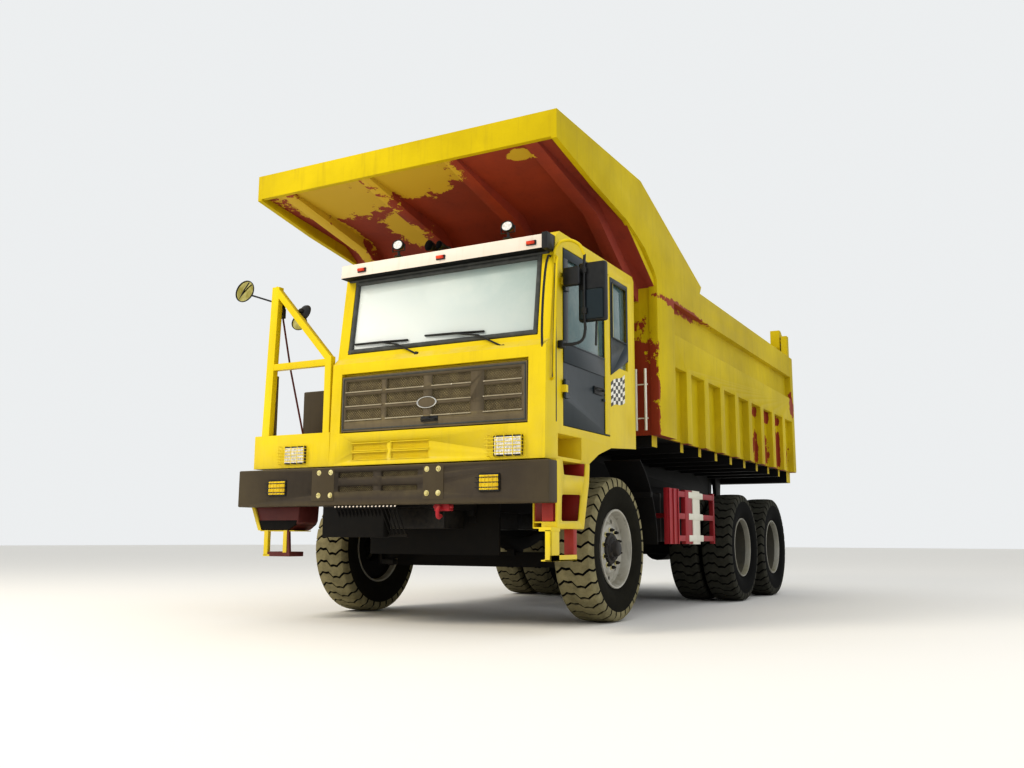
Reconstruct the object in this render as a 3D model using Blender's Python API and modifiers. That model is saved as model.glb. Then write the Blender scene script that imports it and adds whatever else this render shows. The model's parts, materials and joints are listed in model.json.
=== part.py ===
"""Mining dump truck with an offset cab, a canopied body and three axles. +Z is up and the truck faces -Y."""

import math

import bmesh
import bpy
from mathutils import Vector

for old_object in list(bpy.data.objects):
    bpy.data.objects.remove(old_object, do_unlink=True)

# Clearances
FIT = 0.0003  # between faces that rest on each other
SEAT = 0.0005  # between a tyre's bead and its rim
PLAY = 0.001  # round a pin that turns
SWING = 0.010  # round a door or a lid

# Wheels
TYRE_RADIUS = 0.650
TYRE_WIDTH = 0.360
BEAD_RADIUS = 0.358
WHEEL_SIDES = 20
FRONT_WHEEL_X = 1.325
TWIN_X = 1.235
TWIN_SPACING = TYRE_WIDTH + 0.050
KINGPIN_X = 1.020
FRONT_AXLE_Y = -2.640
MIDDLE_AXLE_Y = 1.130
REAR_AXLE_Y = MIDDLE_AXLE_Y + 2 * TYRE_RADIUS + 0.200
SPINDLE_RADIUS = 0.060
STUB_RADIUS = 0.075
TYRE_TOP = 2 * TYRE_RADIUS
PERCH = TYRE_RADIUS + 0.120

# Frame
RAIL_IN = 0.390
RAIL_OUT = 0.470
RAIL_TOP = TYRE_TOP
RAIL_BOTTOM = RAIL_TOP - 0.320
RAIL_FRONT = -4.100
RAIL_REAR = 3.600
SUBFRAME_TOP = RAIL_TOP + 0.120

# Bumper
BUMPER_FRONT = -4.250
BUMPER_DEEP = 0.150
BUMPER_RIGHT = -1.611
BUMPER_LEFT = 1.600
BUMPER_LOW = RAIL_TOP - 0.290
BUMPER_TOP = RAIL_TOP + 0.042

# Cab
CAB_RIGHT = -0.585
CAB_LEFT = 1.550
CAB_WALL = 0.050
CAB_FRONT = -4.220
CAB_REAR = -2.300
CAB_BOTTOM = RAIL_TOP + 0.055
CAB_FLOOR = RAIL_TOP + 0.320
CAB_ROOF = RAIL_TOP + 1.960
GLASS = 0.016
DOOR_FRONT = -3.890
DOOR_REAR = -2.920
DOOR_LOW = CAB_FLOOR + 0.020
DOOR_TOP = CAB_ROOF - 0.120
HINGE_X = CAB_LEFT + 0.020
HINGE_Y = DOOR_FRONT - 0.010
HATCH_LEFT = 1.385
HATCH_RIGHT = -0.470
HATCH_LOW = RAIL_TOP + 0.350
HATCH_TOP = RAIL_TOP + 0.840
HATCH_AXIS_Y = CAB_FRONT + 0.040
HATCH_AXIS_Z = HATCH_TOP - 0.015

# Platform on the right of the cab
DECK_RIGHT = -1.462
DECK_TOP = RAIL_TOP + 0.358
FRAME_BACK = -4.150

# Body
BODY_FRONT = -1.850
BODY_REAR = 4.120
BODY_HALF = 1.550
BODY_WALL = 0.050
RIB_DEEP = 0.080
RIB_WIDE = 0.160
RIB_FIRST = -0.910
RIB_PITCH = 0.618
RIB_COUNT = 8
FLOOR_LOW = RAIL_TOP + 0.460
FLOOR_THICK = 0.060
WALL_TOP = FLOOR_LOW + 1.760
TOP_RAIL_LOW = FLOOR_LOW + 1.450
CANOPY_FRONT = -4.160
CANOPY_TOP = FLOOR_LOW + 2.481
BODY_PIVOT_Y = 3.700
BODY_PIVOT_Z = RAIL_TOP + 0.060
PIVOT_RADIUS = 0.040
GATE_THICK = 0.080
GATE_AXIS_Y = 4.060
GATE_AXIS_Z = WALL_TOP + 0.280
GATE_PIN = 0.030

# Hoist
HOIST_X = 0.170
HOIST_BASE_Y = 1.150
HOIST_BASE_Z = RAIL_TOP - 0.200
HOIST_EYE_Y = 2.600
HOIST_EYE_Z = FLOOR_LOW - 0.230
HOIST_PIN = 0.035
BARREL_RADIUS = 0.090
ROD_RADIUS = 0.055

YELLOW = ("yellow_paint", (0.72, 0.52, 0.02), 0.45, 0.0)
BLACK = ("black_paint", (0.02, 0.02, 0.02), 0.6, 0.0)
GREY = ("dark_grey_paint", (0.09, 0.08, 0.07), 0.6, 0.0)
RED = ("red_paint", (0.35, 0.03, 0.03), 0.5, 0.0)
RUBBER = ("tyre_rubber", (0.03, 0.03, 0.03), 0.9, 0.0)
SILVER = ("rim_paint", (0.45, 0.43, 0.38), 0.4, 0.3)
STEEL = ("bright_steel", (0.55, 0.55, 0.55), 0.25, 1.0)
GLAZING = ("window_glass", (0.35, 0.45, 0.42), 0.05, 0.0)
CREAM = ("cream_paint", (0.70, 0.66, 0.58), 0.4, 0.0)
BLUE_GREY = ("door_paint", (0.06, 0.09, 0.11), 0.4, 0.0)
VINYL = ("seat_vinyl", (0.05, 0.05, 0.05), 0.7, 0.0)
PLASTIC = ("dark_plastic", (0.06, 0.06, 0.06), 0.6, 0.0)

construction = bpy.data.collections.new("construction_shapes")
bpy.context.scene.collection.children.link(construction)


def material_of(finish):
    name, colour, roughness, metallic = finish
    found = bpy.data.materials.get(name)
    if found:
        return found
    made = bpy.data.materials.new(name)
    made.use_nodes = True
    shader = made.node_tree.nodes["Principled BSDF"]
    shader.inputs["Base Color"].default_value = (*colour, 1)
    shader.inputs["Roughness"].default_value = roughness
    shader.inputs["Metallic"].default_value = metallic
    made.diffuse_color = (*colour, 1)
    return made


def block(name, low, high):
    """A box from its low corner to its high corner."""
    low = Vector(low)
    high = Vector(high)
    bpy.ops.mesh.primitive_cube_add(size=1, location=(low + high) / 2)
    made = bpy.context.object
    made.name = name
    made.scale = high - low
    bpy.ops.object.transform_apply(location=False, rotation=False, scale=True)
    return made


def rod(name, start, end, radius, sides=12):
    """A round bar between two points."""
    start = Vector(start)
    end = Vector(end)
    along = end - start
    bpy.ops.mesh.primitive_cylinder_add(vertices=sides, radius=radius, depth=along.length)
    made = bpy.context.object
    made.name = name
    made.location = (start + end) / 2
    made.rotation_euler = along.to_track_quat("Z", "Y").to_euler()
    return made


def slab(name, outline, low_x, high_x):
    """A plate whose outline is given in Y and Z, from one X to another."""
    curve = bpy.data.curves.new(name, "CURVE")
    curve.dimensions = "2D"
    curve.fill_mode = "BOTH"
    curve.extrude = (high_x - low_x) / 2
    spline = curve.splines.new("POLY")
    spline.points.add(len(outline) - 1)
    for point, (y, z) in zip(spline.points, outline):
        point.co = (y, z, 0, 1)
    spline.use_cyclic_u = True
    drawn = bpy.data.objects.new(name, curve)
    bpy.context.scene.collection.objects.link(drawn)
    drawn.rotation_euler = (math.pi / 2, 0, math.pi / 2)
    drawn.location.x = (low_x + high_x) / 2
    bpy.context.view_layer.update()
    graph = bpy.context.evaluated_depsgraph_get()
    mesh = bpy.data.meshes.new_from_object(drawn.evaluated_get(graph))
    editing = bmesh.new()
    editing.from_mesh(mesh)
    bmesh.ops.remove_doubles(editing, verts=editing.verts, dist=0.00001)
    bmesh.ops.recalc_face_normals(editing, faces=editing.faces)
    editing.to_mesh(mesh)
    editing.free()
    made = bpy.data.objects.new(name, mesh)
    bpy.context.scene.collection.objects.link(made)
    made.matrix_world = drawn.matrix_world.copy()
    bpy.data.objects.remove(drawn, do_unlink=True)
    made.name = name
    return made


def turned(name, profile, centre, outward, sides=WHEEL_SIDES, closed=False):
    """A profile of (radius, distance along the axis) turned about an axis that runs outward."""
    half_step = math.pi / sides
    mesh = bpy.data.meshes.new(name)
    points = [(r * math.cos(half_step), r * math.sin(half_step), s) for r, s in profile]
    edges = [(i, i + 1) for i in range(len(points) - 1)]
    if closed:
        edges.append((len(points) - 1, 0))
    mesh.from_pydata(points, edges, [])
    made = bpy.data.objects.new(name, mesh)
    bpy.context.scene.collection.objects.link(made)
    screw = made.modifiers.new("Turn", "SCREW")
    screw.axis = "Z"
    screw.steps = sides
    screw.render_steps = sides
    screw.use_merge_vertices = True
    screw.merge_threshold = 0.00005
    screw.use_smooth_shade = True
    made.location = centre
    made.rotation_euler = Vector(outward).to_track_quat("Z", "Y").to_euler()
    return made


def hide_in(group, piece, owner):
    for collection in list(piece.users_collection):
        collection.objects.unlink(piece)
    group.objects.link(piece)
    piece.hide_render = True
    piece.display_type = "WIRE"
    bpy.context.view_layer.update()
    piece.parent = owner
    piece.matrix_parent_inverse = owner.matrix_world.inverted()


def combine(owner, pieces, operation):
    group = bpy.data.collections.new(owner.name + "_" + operation.lower())
    construction.children.link(group)
    for piece in pieces:
        hide_in(group, piece, owner)
    boolean = owner.modifiers.new(operation.title(), "BOOLEAN")
    boolean.operation = operation
    boolean.operand_type = "COLLECTION"
    boolean.collection = group
    boolean.solver = "EXACT"


def join(owner, *pieces):
    combine(owner, pieces, "UNION")


def cut(owner, *pieces):
    combine(owner, pieces, "DIFFERENCE")


def finish(piece, coat):
    piece.data.materials.clear()
    piece.data.materials.append(material_of(coat))
    return piece


def hang_on(name, place, pieces):
    """Gives moving pieces an empty on their joint's axis."""
    pivot = bpy.data.objects.new(name, None)
    pivot.empty_display_size = 0.1
    pivot.location = place
    bpy.context.scene.collection.objects.link(pivot)
    bpy.context.view_layer.update()
    for piece in pieces:
        piece.parent = pivot
        piece.matrix_parent_inverse = pivot.matrix_world.inverted()


def facing(side):
    return (side, 0, 0)


def span(side, near, far):
    """Low and high X of a piece between two distances from the middle, on one side."""
    return min(side * near, side * far), max(side * near, side * far)


# Wheels, as profiles along the axle from the middle of the truck outwards
def tyre(name, x, y, side):
    flat = 1 / math.cos(math.pi / WHEEL_SIDES)  # so that the flats, not the corners, are at the radius
    half = TYRE_WIDTH / 2
    profile = [
        (BEAD_RADIUS, 0.80 * half),
        (TYRE_RADIUS - 0.160, half),
        (TYRE_RADIUS - 0.045, 0.92 * half),
        (TYRE_RADIUS * flat, 0.75 * half),
        (TYRE_RADIUS * flat, -0.75 * half),
        (TYRE_RADIUS - 0.045, -0.92 * half),
        (TYRE_RADIUS - 0.160, -half),
        (BEAD_RADIUS, -0.80 * half),
    ]
    made = turned(name, profile, (side * x, y, TYRE_RADIUS), facing(side), closed=True)
    return finish(made, RUBBER)


def front_wheel(side, word):
    rim_radius = BEAD_RADIUS - SEAT
    profile = [
        (0, 0.165),
        (0.110, 0.155),
        (0.120, 0.075),
        (0.200, 0.085),
        (0.300, 0.050),
        (0.325, 0.150),
        (rim_radius, 0.150),
        (rim_radius, -0.150),
        (0.325, -0.150),
        (0.290, 0.020),
        (0.210, 0.045),
        (0.210, -0.110),
        (SPINDLE_RADIUS + PLAY, -0.110),
        (SPINDLE_RADIUS + PLAY, 0.020),
        (0, 0.020),
    ]
    place = (side * FRONT_WHEEL_X, FRONT_AXLE_Y, TYRE_RADIUS)
    rim = finish(turned(word + "_front_rim", profile, place, facing(side)), SILVER)
    rubber = tyre(word + "_front_tyre", FRONT_WHEEL_X, FRONT_AXLE_Y, side)
    hang_on(word + "_front_wheel_axis", place, (rim, rubber))


def twin_wheel(side, word, y):
    rim_radius = BEAD_RADIUS - SEAT
    reach = TWIN_SPACING / 2 + 0.150
    profile = [
        (0, 0.235),
        (0.125, 0.230),
        (0.150, 0.040),
        (0.270, 0.040),
        (0.325, 0.110),
        (0.325, reach),
        (rim_radius, reach),
        (rim_radius, -reach),
        (0.325, -reach),
        (0.325, -0.110),
        (0.220, -0.050),
        (0.220, -0.290),
        (STUB_RADIUS + PLAY, -0.290),
        (STUB_RADIUS + PLAY, 0.100),
        (0, 0.100),
    ]
    place = (side * TWIN_X, y, TYRE_RADIUS)
    rim = finish(turned(word + "_twin_rim", profile, place, facing(side)), SILVER)
    outer = tyre(word + "_outer_tyre", TWIN_X + TWIN_SPACING / 2, y, side)
    inner = tyre(word + "_inner_tyre", TWIN_X - TWIN_SPACING / 2, y, side)
    hang_on(word + "_wheel_axis", place, (rim, outer, inner))


# Front axle: a beam with round ends, held between the lugs of each knuckle
def leaf_spring(name, middle_y, middle_z, half_length, rise, thick, low_x, high_x):
    below = []
    above = []
    for step in range(9):
        t = step / 4 - 1
        y = middle_y + t * half_length
        z = middle_z + rise * t * t
        below.append((y, z - thick * (1 - 0.6 * abs(t))))
        above.append((y, z))
    return slab(name, below + above[::-1], low_x, high_x)


def front_axle():
    beam = block(
        "front_axle_beam", (-0.900, FRONT_AXLE_Y - 0.060, 0.470), (0.900, FRONT_AXLE_Y + 0.060, 0.610)
    )
    pieces = []
    for side in (-1, 1):
        neck = span(side, 0.860, KINGPIN_X)
        pieces.append(
            block("axle_neck", (neck[0], FRONT_AXLE_Y - 0.050, 0.530), (neck[1], FRONT_AXLE_Y + 0.050, 0.700))
        )
        pieces.append(
            rod(
                "kingpin_boss",
                (side * KINGPIN_X, FRONT_AXLE_Y, TYRE_RADIUS - 0.120),
                (side * KINGPIN_X, FRONT_AXLE_Y, TYRE_RADIUS + 0.120),
                0.070,
                16,
            )
        )
        seat = span(side, RAIL_IN, RAIL_OUT)
        pieces.append(
            leaf_spring(
                "front_spring", FRONT_AXLE_Y, 0.740, 0.800, RAIL_BOTTOM - 0.790, 0.120, seat[0], seat[1]
            )
        )
        pieces.append(
            block(
                "spring_seat", (seat[0], FRONT_AXLE_Y - 0.090, 0.580), (seat[1], FRONT_AXLE_Y + 0.090, 0.700)
            )
        )
    join(beam, *pieces)
    bores = []
    for side in (-1, 1):
        foot = (side * KINGPIN_X, FRONT_AXLE_Y, TYRE_RADIUS - 0.200)
        head = (side * KINGPIN_X, FRONT_AXLE_Y, TYRE_RADIUS + 0.200)
        bores.append(rod("kingpin_bore", foot, head, 0.030 + PLAY, 16))
    cut(beam, *bores)
    finish(beam, BLACK)


def knuckle(side, word):
    x = side * KINGPIN_X
    y = FRONT_AXLE_Y
    z = TYRE_RADIUS
    made = rod(word + "_steering_knuckle", (x, y, z - 0.190), (x, y, z + 0.190), 0.030, 16)
    web = span(side, KINGPIN_X + 0.078, KINGPIN_X + 0.118)
    lug = span(side, KINGPIN_X - 0.060, KINGPIN_X + 0.100)
    join(
        made,
        block("knuckle_web", (web[0], y - 0.070, z - 0.180), (web[1], y + 0.070, z + 0.180)),
        block("upper_lug", (lug[0], y - 0.060, z + 0.126), (lug[1], y + 0.060, z + 0.180)),
        block("lower_lug", (lug[0], y - 0.060, z - 0.180), (lug[1], y + 0.060, z - 0.126)),
        rod(
            "spindle",
            (side * (KINGPIN_X + 0.090), y, z),
            (side * (FRONT_WHEEL_X + 0.010), y, z),
            SPINDLE_RADIUS,
            WHEEL_SIDES,
        ),
    )
    finish(made, BLACK)
    hang_on(word + "_kingpin_axis", (x, y, z), (made,))


# Driven axles
def drive_axle(name, y):
    made = rod(name, (-0.900, y, TYRE_RADIUS), (0.900, y, TYRE_RADIUS), 0.100, 16)
    stub = TWIN_X + 0.080
    join(
        made,
        rod("axle_stub", (-stub, y, TYRE_RADIUS), (stub, y, TYRE_RADIUS), STUB_RADIUS, WHEEL_SIDES),
        rod("final_drive", (0, y - 0.240, TYRE_RADIUS), (0, y + 0.240, TYRE_RADIUS), 0.200, 16),
        block("left_perch", (0.500, y - 0.070, TYRE_RADIUS), (0.620, y + 0.070, PERCH)),
        block("right_perch", (-0.620, y - 0.070, TYRE_RADIUS), (-0.500, y + 0.070, PERCH)),
    )
    finish(made, BLACK)


def bogie():
    middle = (MIDDLE_AXLE_Y + REAR_AXLE_Y) / 2
    half = (REAR_AXLE_Y - MIDDLE_AXLE_Y) / 2
    height = TYRE_RADIUS + 0.200
    made = rod("bogie_suspension", (-0.640, middle, height), (0.640, middle, height), 0.060, 16)
    pieces = []
    for side in (-1, 1):
        seat = span(side, 0.500, 0.620)
        rise = PERCH + 0.080 - (height + 0.180)
        pieces.append(
            leaf_spring("bogie_spring", middle, height + 0.180, half + 0.060, rise, 0.150, seat[0], seat[1])
        )
        for y in (MIDDLE_AXLE_Y, REAR_AXLE_Y):
            pieces.append(
                block("spring_foot", (seat[0], y - 0.060, PERCH + FIT), (seat[1], y + 0.060, PERCH + 0.060))
            )
        pieces.append(
            block(
                "spring_saddle",
                (seat[0], middle - 0.130, height - 0.050),
                (seat[1], middle + 0.130, height + 0.100),
            )
        )
    join(made, *pieces)
    finish(made, BLACK)


def arc(centre_y, centre_z, radius, start, end, steps):
    found = []
    for step in range(steps + 1):
        angle = math.radians(start + (end - start) * step / steps)
        found.append((centre_y + radius * math.cos(angle), centre_z + radius * math.sin(angle)))
    return found


def chassis():
    made = block("chassis_frame", (RAIL_IN, RAIL_FRONT + FIT, RAIL_BOTTOM), (RAIL_OUT, RAIL_REAR, RAIL_TOP))
    middle = (MIDDLE_AXLE_Y + REAR_AXLE_Y) / 2
    pieces = [block(
        "right_rail", (-RAIL_OUT, RAIL_FRONT + FIT, RAIL_BOTTOM), (-RAIL_IN, RAIL_REAR, RAIL_TOP)
    )]
    for y, low, high in (
        (-3.960, RAIL_BOTTOM + 0.020, RAIL_TOP - 0.020),
        (-1.500, RAIL_BOTTOM + 0.020, RAIL_BOTTOM + 0.100),
        (0.550, RAIL_BOTTOM + 0.150, RAIL_TOP - 0.020),
        (middle, RAIL_BOTTOM - 0.010, RAIL_BOTTOM + 0.120),
        (3.300, RAIL_BOTTOM + 0.020, RAIL_TOP - 0.020),
    ):
        pieces.append(
            block("cross_member", (-RAIL_IN - 0.020, y - 0.050, low), (RAIL_IN + 0.020, y + 0.050, high))
        )
    for side in (-1, 1):
        rail = span(side, RAIL_IN + 0.002, RAIL_OUT - 0.002)
        pieces.append(
            block(
                "subframe",
                (rail[0], BODY_FRONT + 0.100, RAIL_TOP - 0.010),
                (rail[1], RAIL_REAR - 0.002, SUBFRAME_TOP),
            )
        )
        pieces.append(
            slab(
                "pivot_bracket",
                [(RAIL_REAR - 0.200, RAIL_BOTTOM + 0.040), (RAIL_REAR - 0.200, SUBFRAME_TOP - 0.002)]
                + arc(BODY_PIVOT_Y, BODY_PIVOT_Z, 0.085, 90, -60, 5),
                rail[0],
                rail[1],
            )
        )
        ear = span(side, RAIL_IN + 0.004, RAIL_OUT - 0.004)
        pieces.append(
            block(
                "trunnion_bracket",
                (ear[0], middle - 0.120, TYRE_RADIUS + 0.130),
                (ear[1], middle + 0.120, RAIL_BOTTOM + 0.050),
            )
        )
        spring_end = RAIL_BOTTOM - 0.050
        for y in (FRONT_AXLE_Y - 0.780, FRONT_AXLE_Y + 0.780):
            pieces.append(
                block(
                    "spring_hanger",
                    (ear[0], y - 0.060, spring_end + FIT),
                    (ear[1], y + 0.060, RAIL_BOTTOM + 0.050),
                )
            )
        outer = span(side, RAIL_IN + 0.020, 1.500)
        inner = span(side, 1.120, 1.500)
        guard = arc(FRONT_AXLE_Y, TYRE_RADIUS, TYRE_RADIUS + 0.380, 2, 56, 6)
        guard += arc(FRONT_AXLE_Y, TYRE_RADIUS, TYRE_RADIUS + 0.365, 56, 2, 6)
        pieces.append(slab("mudguard", guard, inner[0], inner[1]))
        pieces.append(block("mudguard_arm", (outer[0], -1.800, 1.150), (outer[1], -1.745, 1.205)))
    join(made, *pieces)
    holes = [rod(
        "pivot_bore",
        (-0.6, BODY_PIVOT_Y, BODY_PIVOT_Z),
        (0.6, BODY_PIVOT_Y, BODY_PIVOT_Z),
        PIVOT_RADIUS + PLAY,
        16,
    )]
    base = (HOIST_BASE_Y, HOIST_BASE_Z)
    holes.append(rod("hoist_bore", (-0.420, *base), (0.420, *base), HOIST_PIN + PLAY, 16))
    holes.append(
        rod(
            "trunnion_bore",
            (-0.6, middle, TYRE_RADIUS + 0.200),
            (0.6, middle, TYRE_RADIUS + 0.200),
            0.060 + PLAY,
            16,
        ),
    )
    cut(made, *holes)
    finish(made, BLACK)


for side, word in ((1, "left"), (-1, "right")):
    front_wheel(side, word)
    knuckle(side, word)
    twin_wheel(side, word + "_middle", MIDDLE_AXLE_Y)
    twin_wheel(side, word + "_rear", REAR_AXLE_Y)
front_axle()
drive_axle("middle_axle", MIDDLE_AXLE_Y)
drive_axle("rear_axle", REAR_AXLE_Y)
bogie()
chassis()


# Front end
def bumper():
    made = block(
        "front_bumper",
        (BUMPER_RIGHT, BUMPER_FRONT, BUMPER_LOW),
        (BUMPER_LEFT, BUMPER_FRONT + BUMPER_DEEP, BUMPER_TOP),
    )
    back = BUMPER_FRONT + BUMPER_DEEP
    join(
        made,
        block(
            "grille_guard",
            (-0.640, back - 0.110, BUMPER_LOW - 0.270),
            (0.020, back - 0.005, BUMPER_LOW + 0.030),
        ),
        block(
            "tow_hook", (0.480, back - 0.060, BUMPER_LOW - 0.100), (0.560, back - 0.010, BUMPER_LOW + 0.020)
        ),
    )
    finish(made, GREY)


def engine():
    made = block("engine_block", (-0.330, -3.750, 0.820), (0.330, -2.400, RAIL_TOP - 0.010))
    prop_z = TYRE_RADIUS + 0.080
    join(
        made,
        block("gearbox", (-0.220, -2.450, 0.830), (0.220, -1.650, RAIL_TOP - 0.100)),
        rod("prop_shaft", (0, -1.700, 0.900), (0, MIDDLE_AXLE_Y - 0.260, prop_z), 0.055),
        rod(
            "prop_flange",
            (0, MIDDLE_AXLE_Y - 0.275, TYRE_RADIUS),
            (0, MIDDLE_AXLE_Y - 0.240 - FIT, TYRE_RADIUS),
            0.140,
        ),
        block(
            "left_mount", (0.300, -3.150, RAIL_BOTTOM + 0.060), (RAIL_IN - FIT, -3.000, RAIL_BOTTOM + 0.160)
        ),
        block(
            "right_mount",
            (-RAIL_IN + FIT, -3.150, RAIL_BOTTOM + 0.060),
            (-0.300, -3.000, RAIL_BOTTOM + 0.160),
        ),
    )
    finish(made, BLACK)


def cab():
    side_view = [
        (CAB_FRONT, CAB_BOTTOM),
        (CAB_FRONT + 0.020, CAB_FLOOR + 0.640),
        (CAB_FRONT + 0.085, CAB_FLOOR + 0.700),
        (CAB_FRONT + 0.180, CAB_ROOF - 0.190),
        (CAB_FRONT + 0.200, CAB_ROOF - 0.060),
        (CAB_FRONT + 0.270, CAB_ROOF),
        (CAB_REAR - 0.040, CAB_ROOF),
        (CAB_REAR, CAB_ROOF - 0.040),
        (CAB_REAR, TYRE_TOP + 0.280),
        (CAB_REAR - 0.600, TYRE_TOP + 0.240),
        (CAB_REAR - 0.880, TYRE_TOP + 0.160),
        (CAB_REAR - 1.100, CAB_BOTTOM),
    ]
    room = [
        (CAB_FRONT + 0.140, CAB_FLOOR),
        (CAB_FRONT + 0.150, CAB_FLOOR + 0.660),
        (CAB_FRONT + 0.240, CAB_ROOF - 0.180),
        (CAB_FRONT + 0.290, CAB_ROOF - 0.060),
        (CAB_REAR - 0.060, CAB_ROOF - 0.060),
        (CAB_REAR - 0.060, CAB_FLOOR),
    ]
    made = slab("cab_shell", side_view, CAB_RIGHT, CAB_LEFT)
    join(
        made,
        *[
            block(
                "hinge_lug",
                (CAB_LEFT - 0.020, HINGE_Y - 0.025, height - 0.030),
                (CAB_LEFT + 0.042, HINGE_Y + 0.018, height + 0.030),
            )
            for height in (DOOR_LOW + 0.300, DOOR_TOP - 0.300)
        ],
    )
    left_in = CAB_LEFT - CAB_WALL
    cut(
        made,
        slab("cab_room", room, CAB_RIGHT + CAB_WALL, left_in),
        block(
            "screen_opening",
            (-0.480, CAB_FRONT - 0.1, RAIL_TOP + 1.060),
            (1.440, CAB_FRONT + 0.300, RAIL_TOP + 1.756),
        ),
        block(
            "door_opening", (left_in - 0.050, DOOR_FRONT, DOOR_LOW), (CAB_LEFT + 0.010, DOOR_REAR, DOOR_TOP)
        ),
        block(
            "quarter_opening",
            (left_in - 0.050, -2.820, RAIL_TOP + 1.000),
            (CAB_LEFT + 0.050, -2.480, DOOR_TOP - 0.040),
        ),
        block(
            "right_opening",
            (CAB_RIGHT - 0.050, -3.750, RAIL_TOP + 0.950),
            (CAB_RIGHT + 0.100, -2.600, DOOR_TOP - 0.090),
        ),
        block(
            "step_well", (1.330, -3.990, CAB_BOTTOM + 0.030), (CAB_LEFT + 0.050, -3.540, CAB_FLOOR - 0.050)
        ),
        block(
            "hatch_recess",
            (HATCH_RIGHT - SWING, CAB_FRONT - 0.050, HATCH_LOW - SWING),
            (HATCH_LEFT + SWING, CAB_FRONT + 0.080, HATCH_AXIS_Z + 0.045),
        ),
        *[
            rod(
                "hinge_bore", (HINGE_X, HINGE_Y, height - 0.1), (HINGE_X, HINGE_Y, height + 0.1), 0.012 + PLAY
            )
            for height in (DOOR_LOW + 0.300, DOOR_TOP - 0.300)
        ],
        rod(
            "hatch_bore",
            (HATCH_RIGHT - 0.040, HATCH_AXIS_Y, HATCH_AXIS_Z),
            (HATCH_LEFT + 0.040, HATCH_AXIS_Y, HATCH_AXIS_Z),
            0.010 + PLAY,
        ),
    )
    finish(made, YELLOW)


def glass(name, outline, low_x, high_x):
    return finish(slab(name, outline, low_x + FIT, high_x - FIT), GLAZING)


def cab_glass():
    low = RAIL_TOP + 1.060 + FIT
    high = RAIL_TOP + 1.756 - FIT
    front = CAB_FRONT + 0.108
    lean = 0.088
    glass(
        "windscreen",
        [(front, low), (front + GLASS, low), (front + lean + GLASS, high), (front + lean, high)],
        -0.480,
        1.440,
    )
    low = RAIL_TOP + 1.000 + FIT
    high = DOOR_TOP - 0.040 - FIT
    glass(
        "quarter_window",
        [(-2.820 + FIT, low), (-2.480 - FIT, low), (-2.480 - FIT, high), (-2.820 + FIT, high)],
        CAB_LEFT - 0.036,
        CAB_LEFT - 0.020,
    )
    low = RAIL_TOP + 0.950 + FIT
    high = DOOR_TOP - 0.090 - FIT
    glass(
        "right_side_window",
        [(-3.750 + FIT, low), (-2.600 - FIT, low), (-2.600 - FIT, high), (-3.750 + FIT, high)],
        CAB_RIGHT + 0.020,
        CAB_RIGHT + 0.036,
    )


def left_door():
    front = DOOR_FRONT + SWING - 0.004
    rear = DOOR_REAR - SWING
    made = block("left_door", (CAB_LEFT - 0.045, front, DOOR_LOW + 0.006), (CAB_LEFT, rear, DOOR_TOP - 0.006))
    pieces = []
    for height in (DOOR_LOW + 0.300, DOOR_TOP - 0.300):
        pieces.append(
            rod("hinge_pin", (HINGE_X, HINGE_Y, height - 0.080), (HINGE_X, HINGE_Y, height + 0.080), 0.012)
        )
        for low, high in ((height - 0.075, height - 0.037), (height + 0.037, height + 0.075)):
            pieces.append(
                block(
                    "hinge_leaf",
                    (CAB_LEFT - 0.005, DOOR_FRONT + 0.006, low),
                    (HINGE_X + 0.008, front + 0.060, high),
                ),
            )
            pieces.append(
                block("hinge_wing", (CAB_LEFT + 0.005, HINGE_Y, low), (HINGE_X + 0.008, front + 0.050, high))
            )
    join(made, *pieces)
    window_front = front + 0.090
    window_rear = rear - 0.080
    window_low = RAIL_TOP + 0.880
    window_high = DOOR_TOP - 0.070
    cut(
        made,
        block(
            "door_window",
            (CAB_LEFT - 0.100, window_front, window_low),
            (CAB_LEFT + 0.050, window_rear, window_high),
        ),
    )
    finish(made, BLUE_GREY)
    pane = glass(
        "left_door_window",
        [
            (window_front + FIT, window_low + FIT),
            (window_rear - FIT, window_low + FIT),
            (window_rear - FIT, window_high - FIT),
            (window_front + FIT, window_high - FIT),
        ],
        CAB_LEFT - 0.030,
        CAB_LEFT - 0.014,
    )
    hang_on("left_door_hinge", (HINGE_X, HINGE_Y, DOOR_LOW), (made, pane))


def hatch():
    made = block(
        "front_hatch", (HATCH_RIGHT, CAB_FRONT + 0.016, HATCH_LOW), (HATCH_LEFT, CAB_FRONT + 0.062, HATCH_TOP)
    )
    reach = 0.030
    join(
        made,
        rod(
            "hatch_pin",
            (HATCH_RIGHT - reach, HATCH_AXIS_Y, HATCH_AXIS_Z),
            (HATCH_LEFT + reach, HATCH_AXIS_Y, HATCH_AXIS_Z),
            0.010,
        ),
    )
    finish(made, PLASTIC)
    hang_on("front_hatch_hinge", (0, HATCH_AXIS_Y, HATCH_AXIS_Z), (made,))


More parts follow.
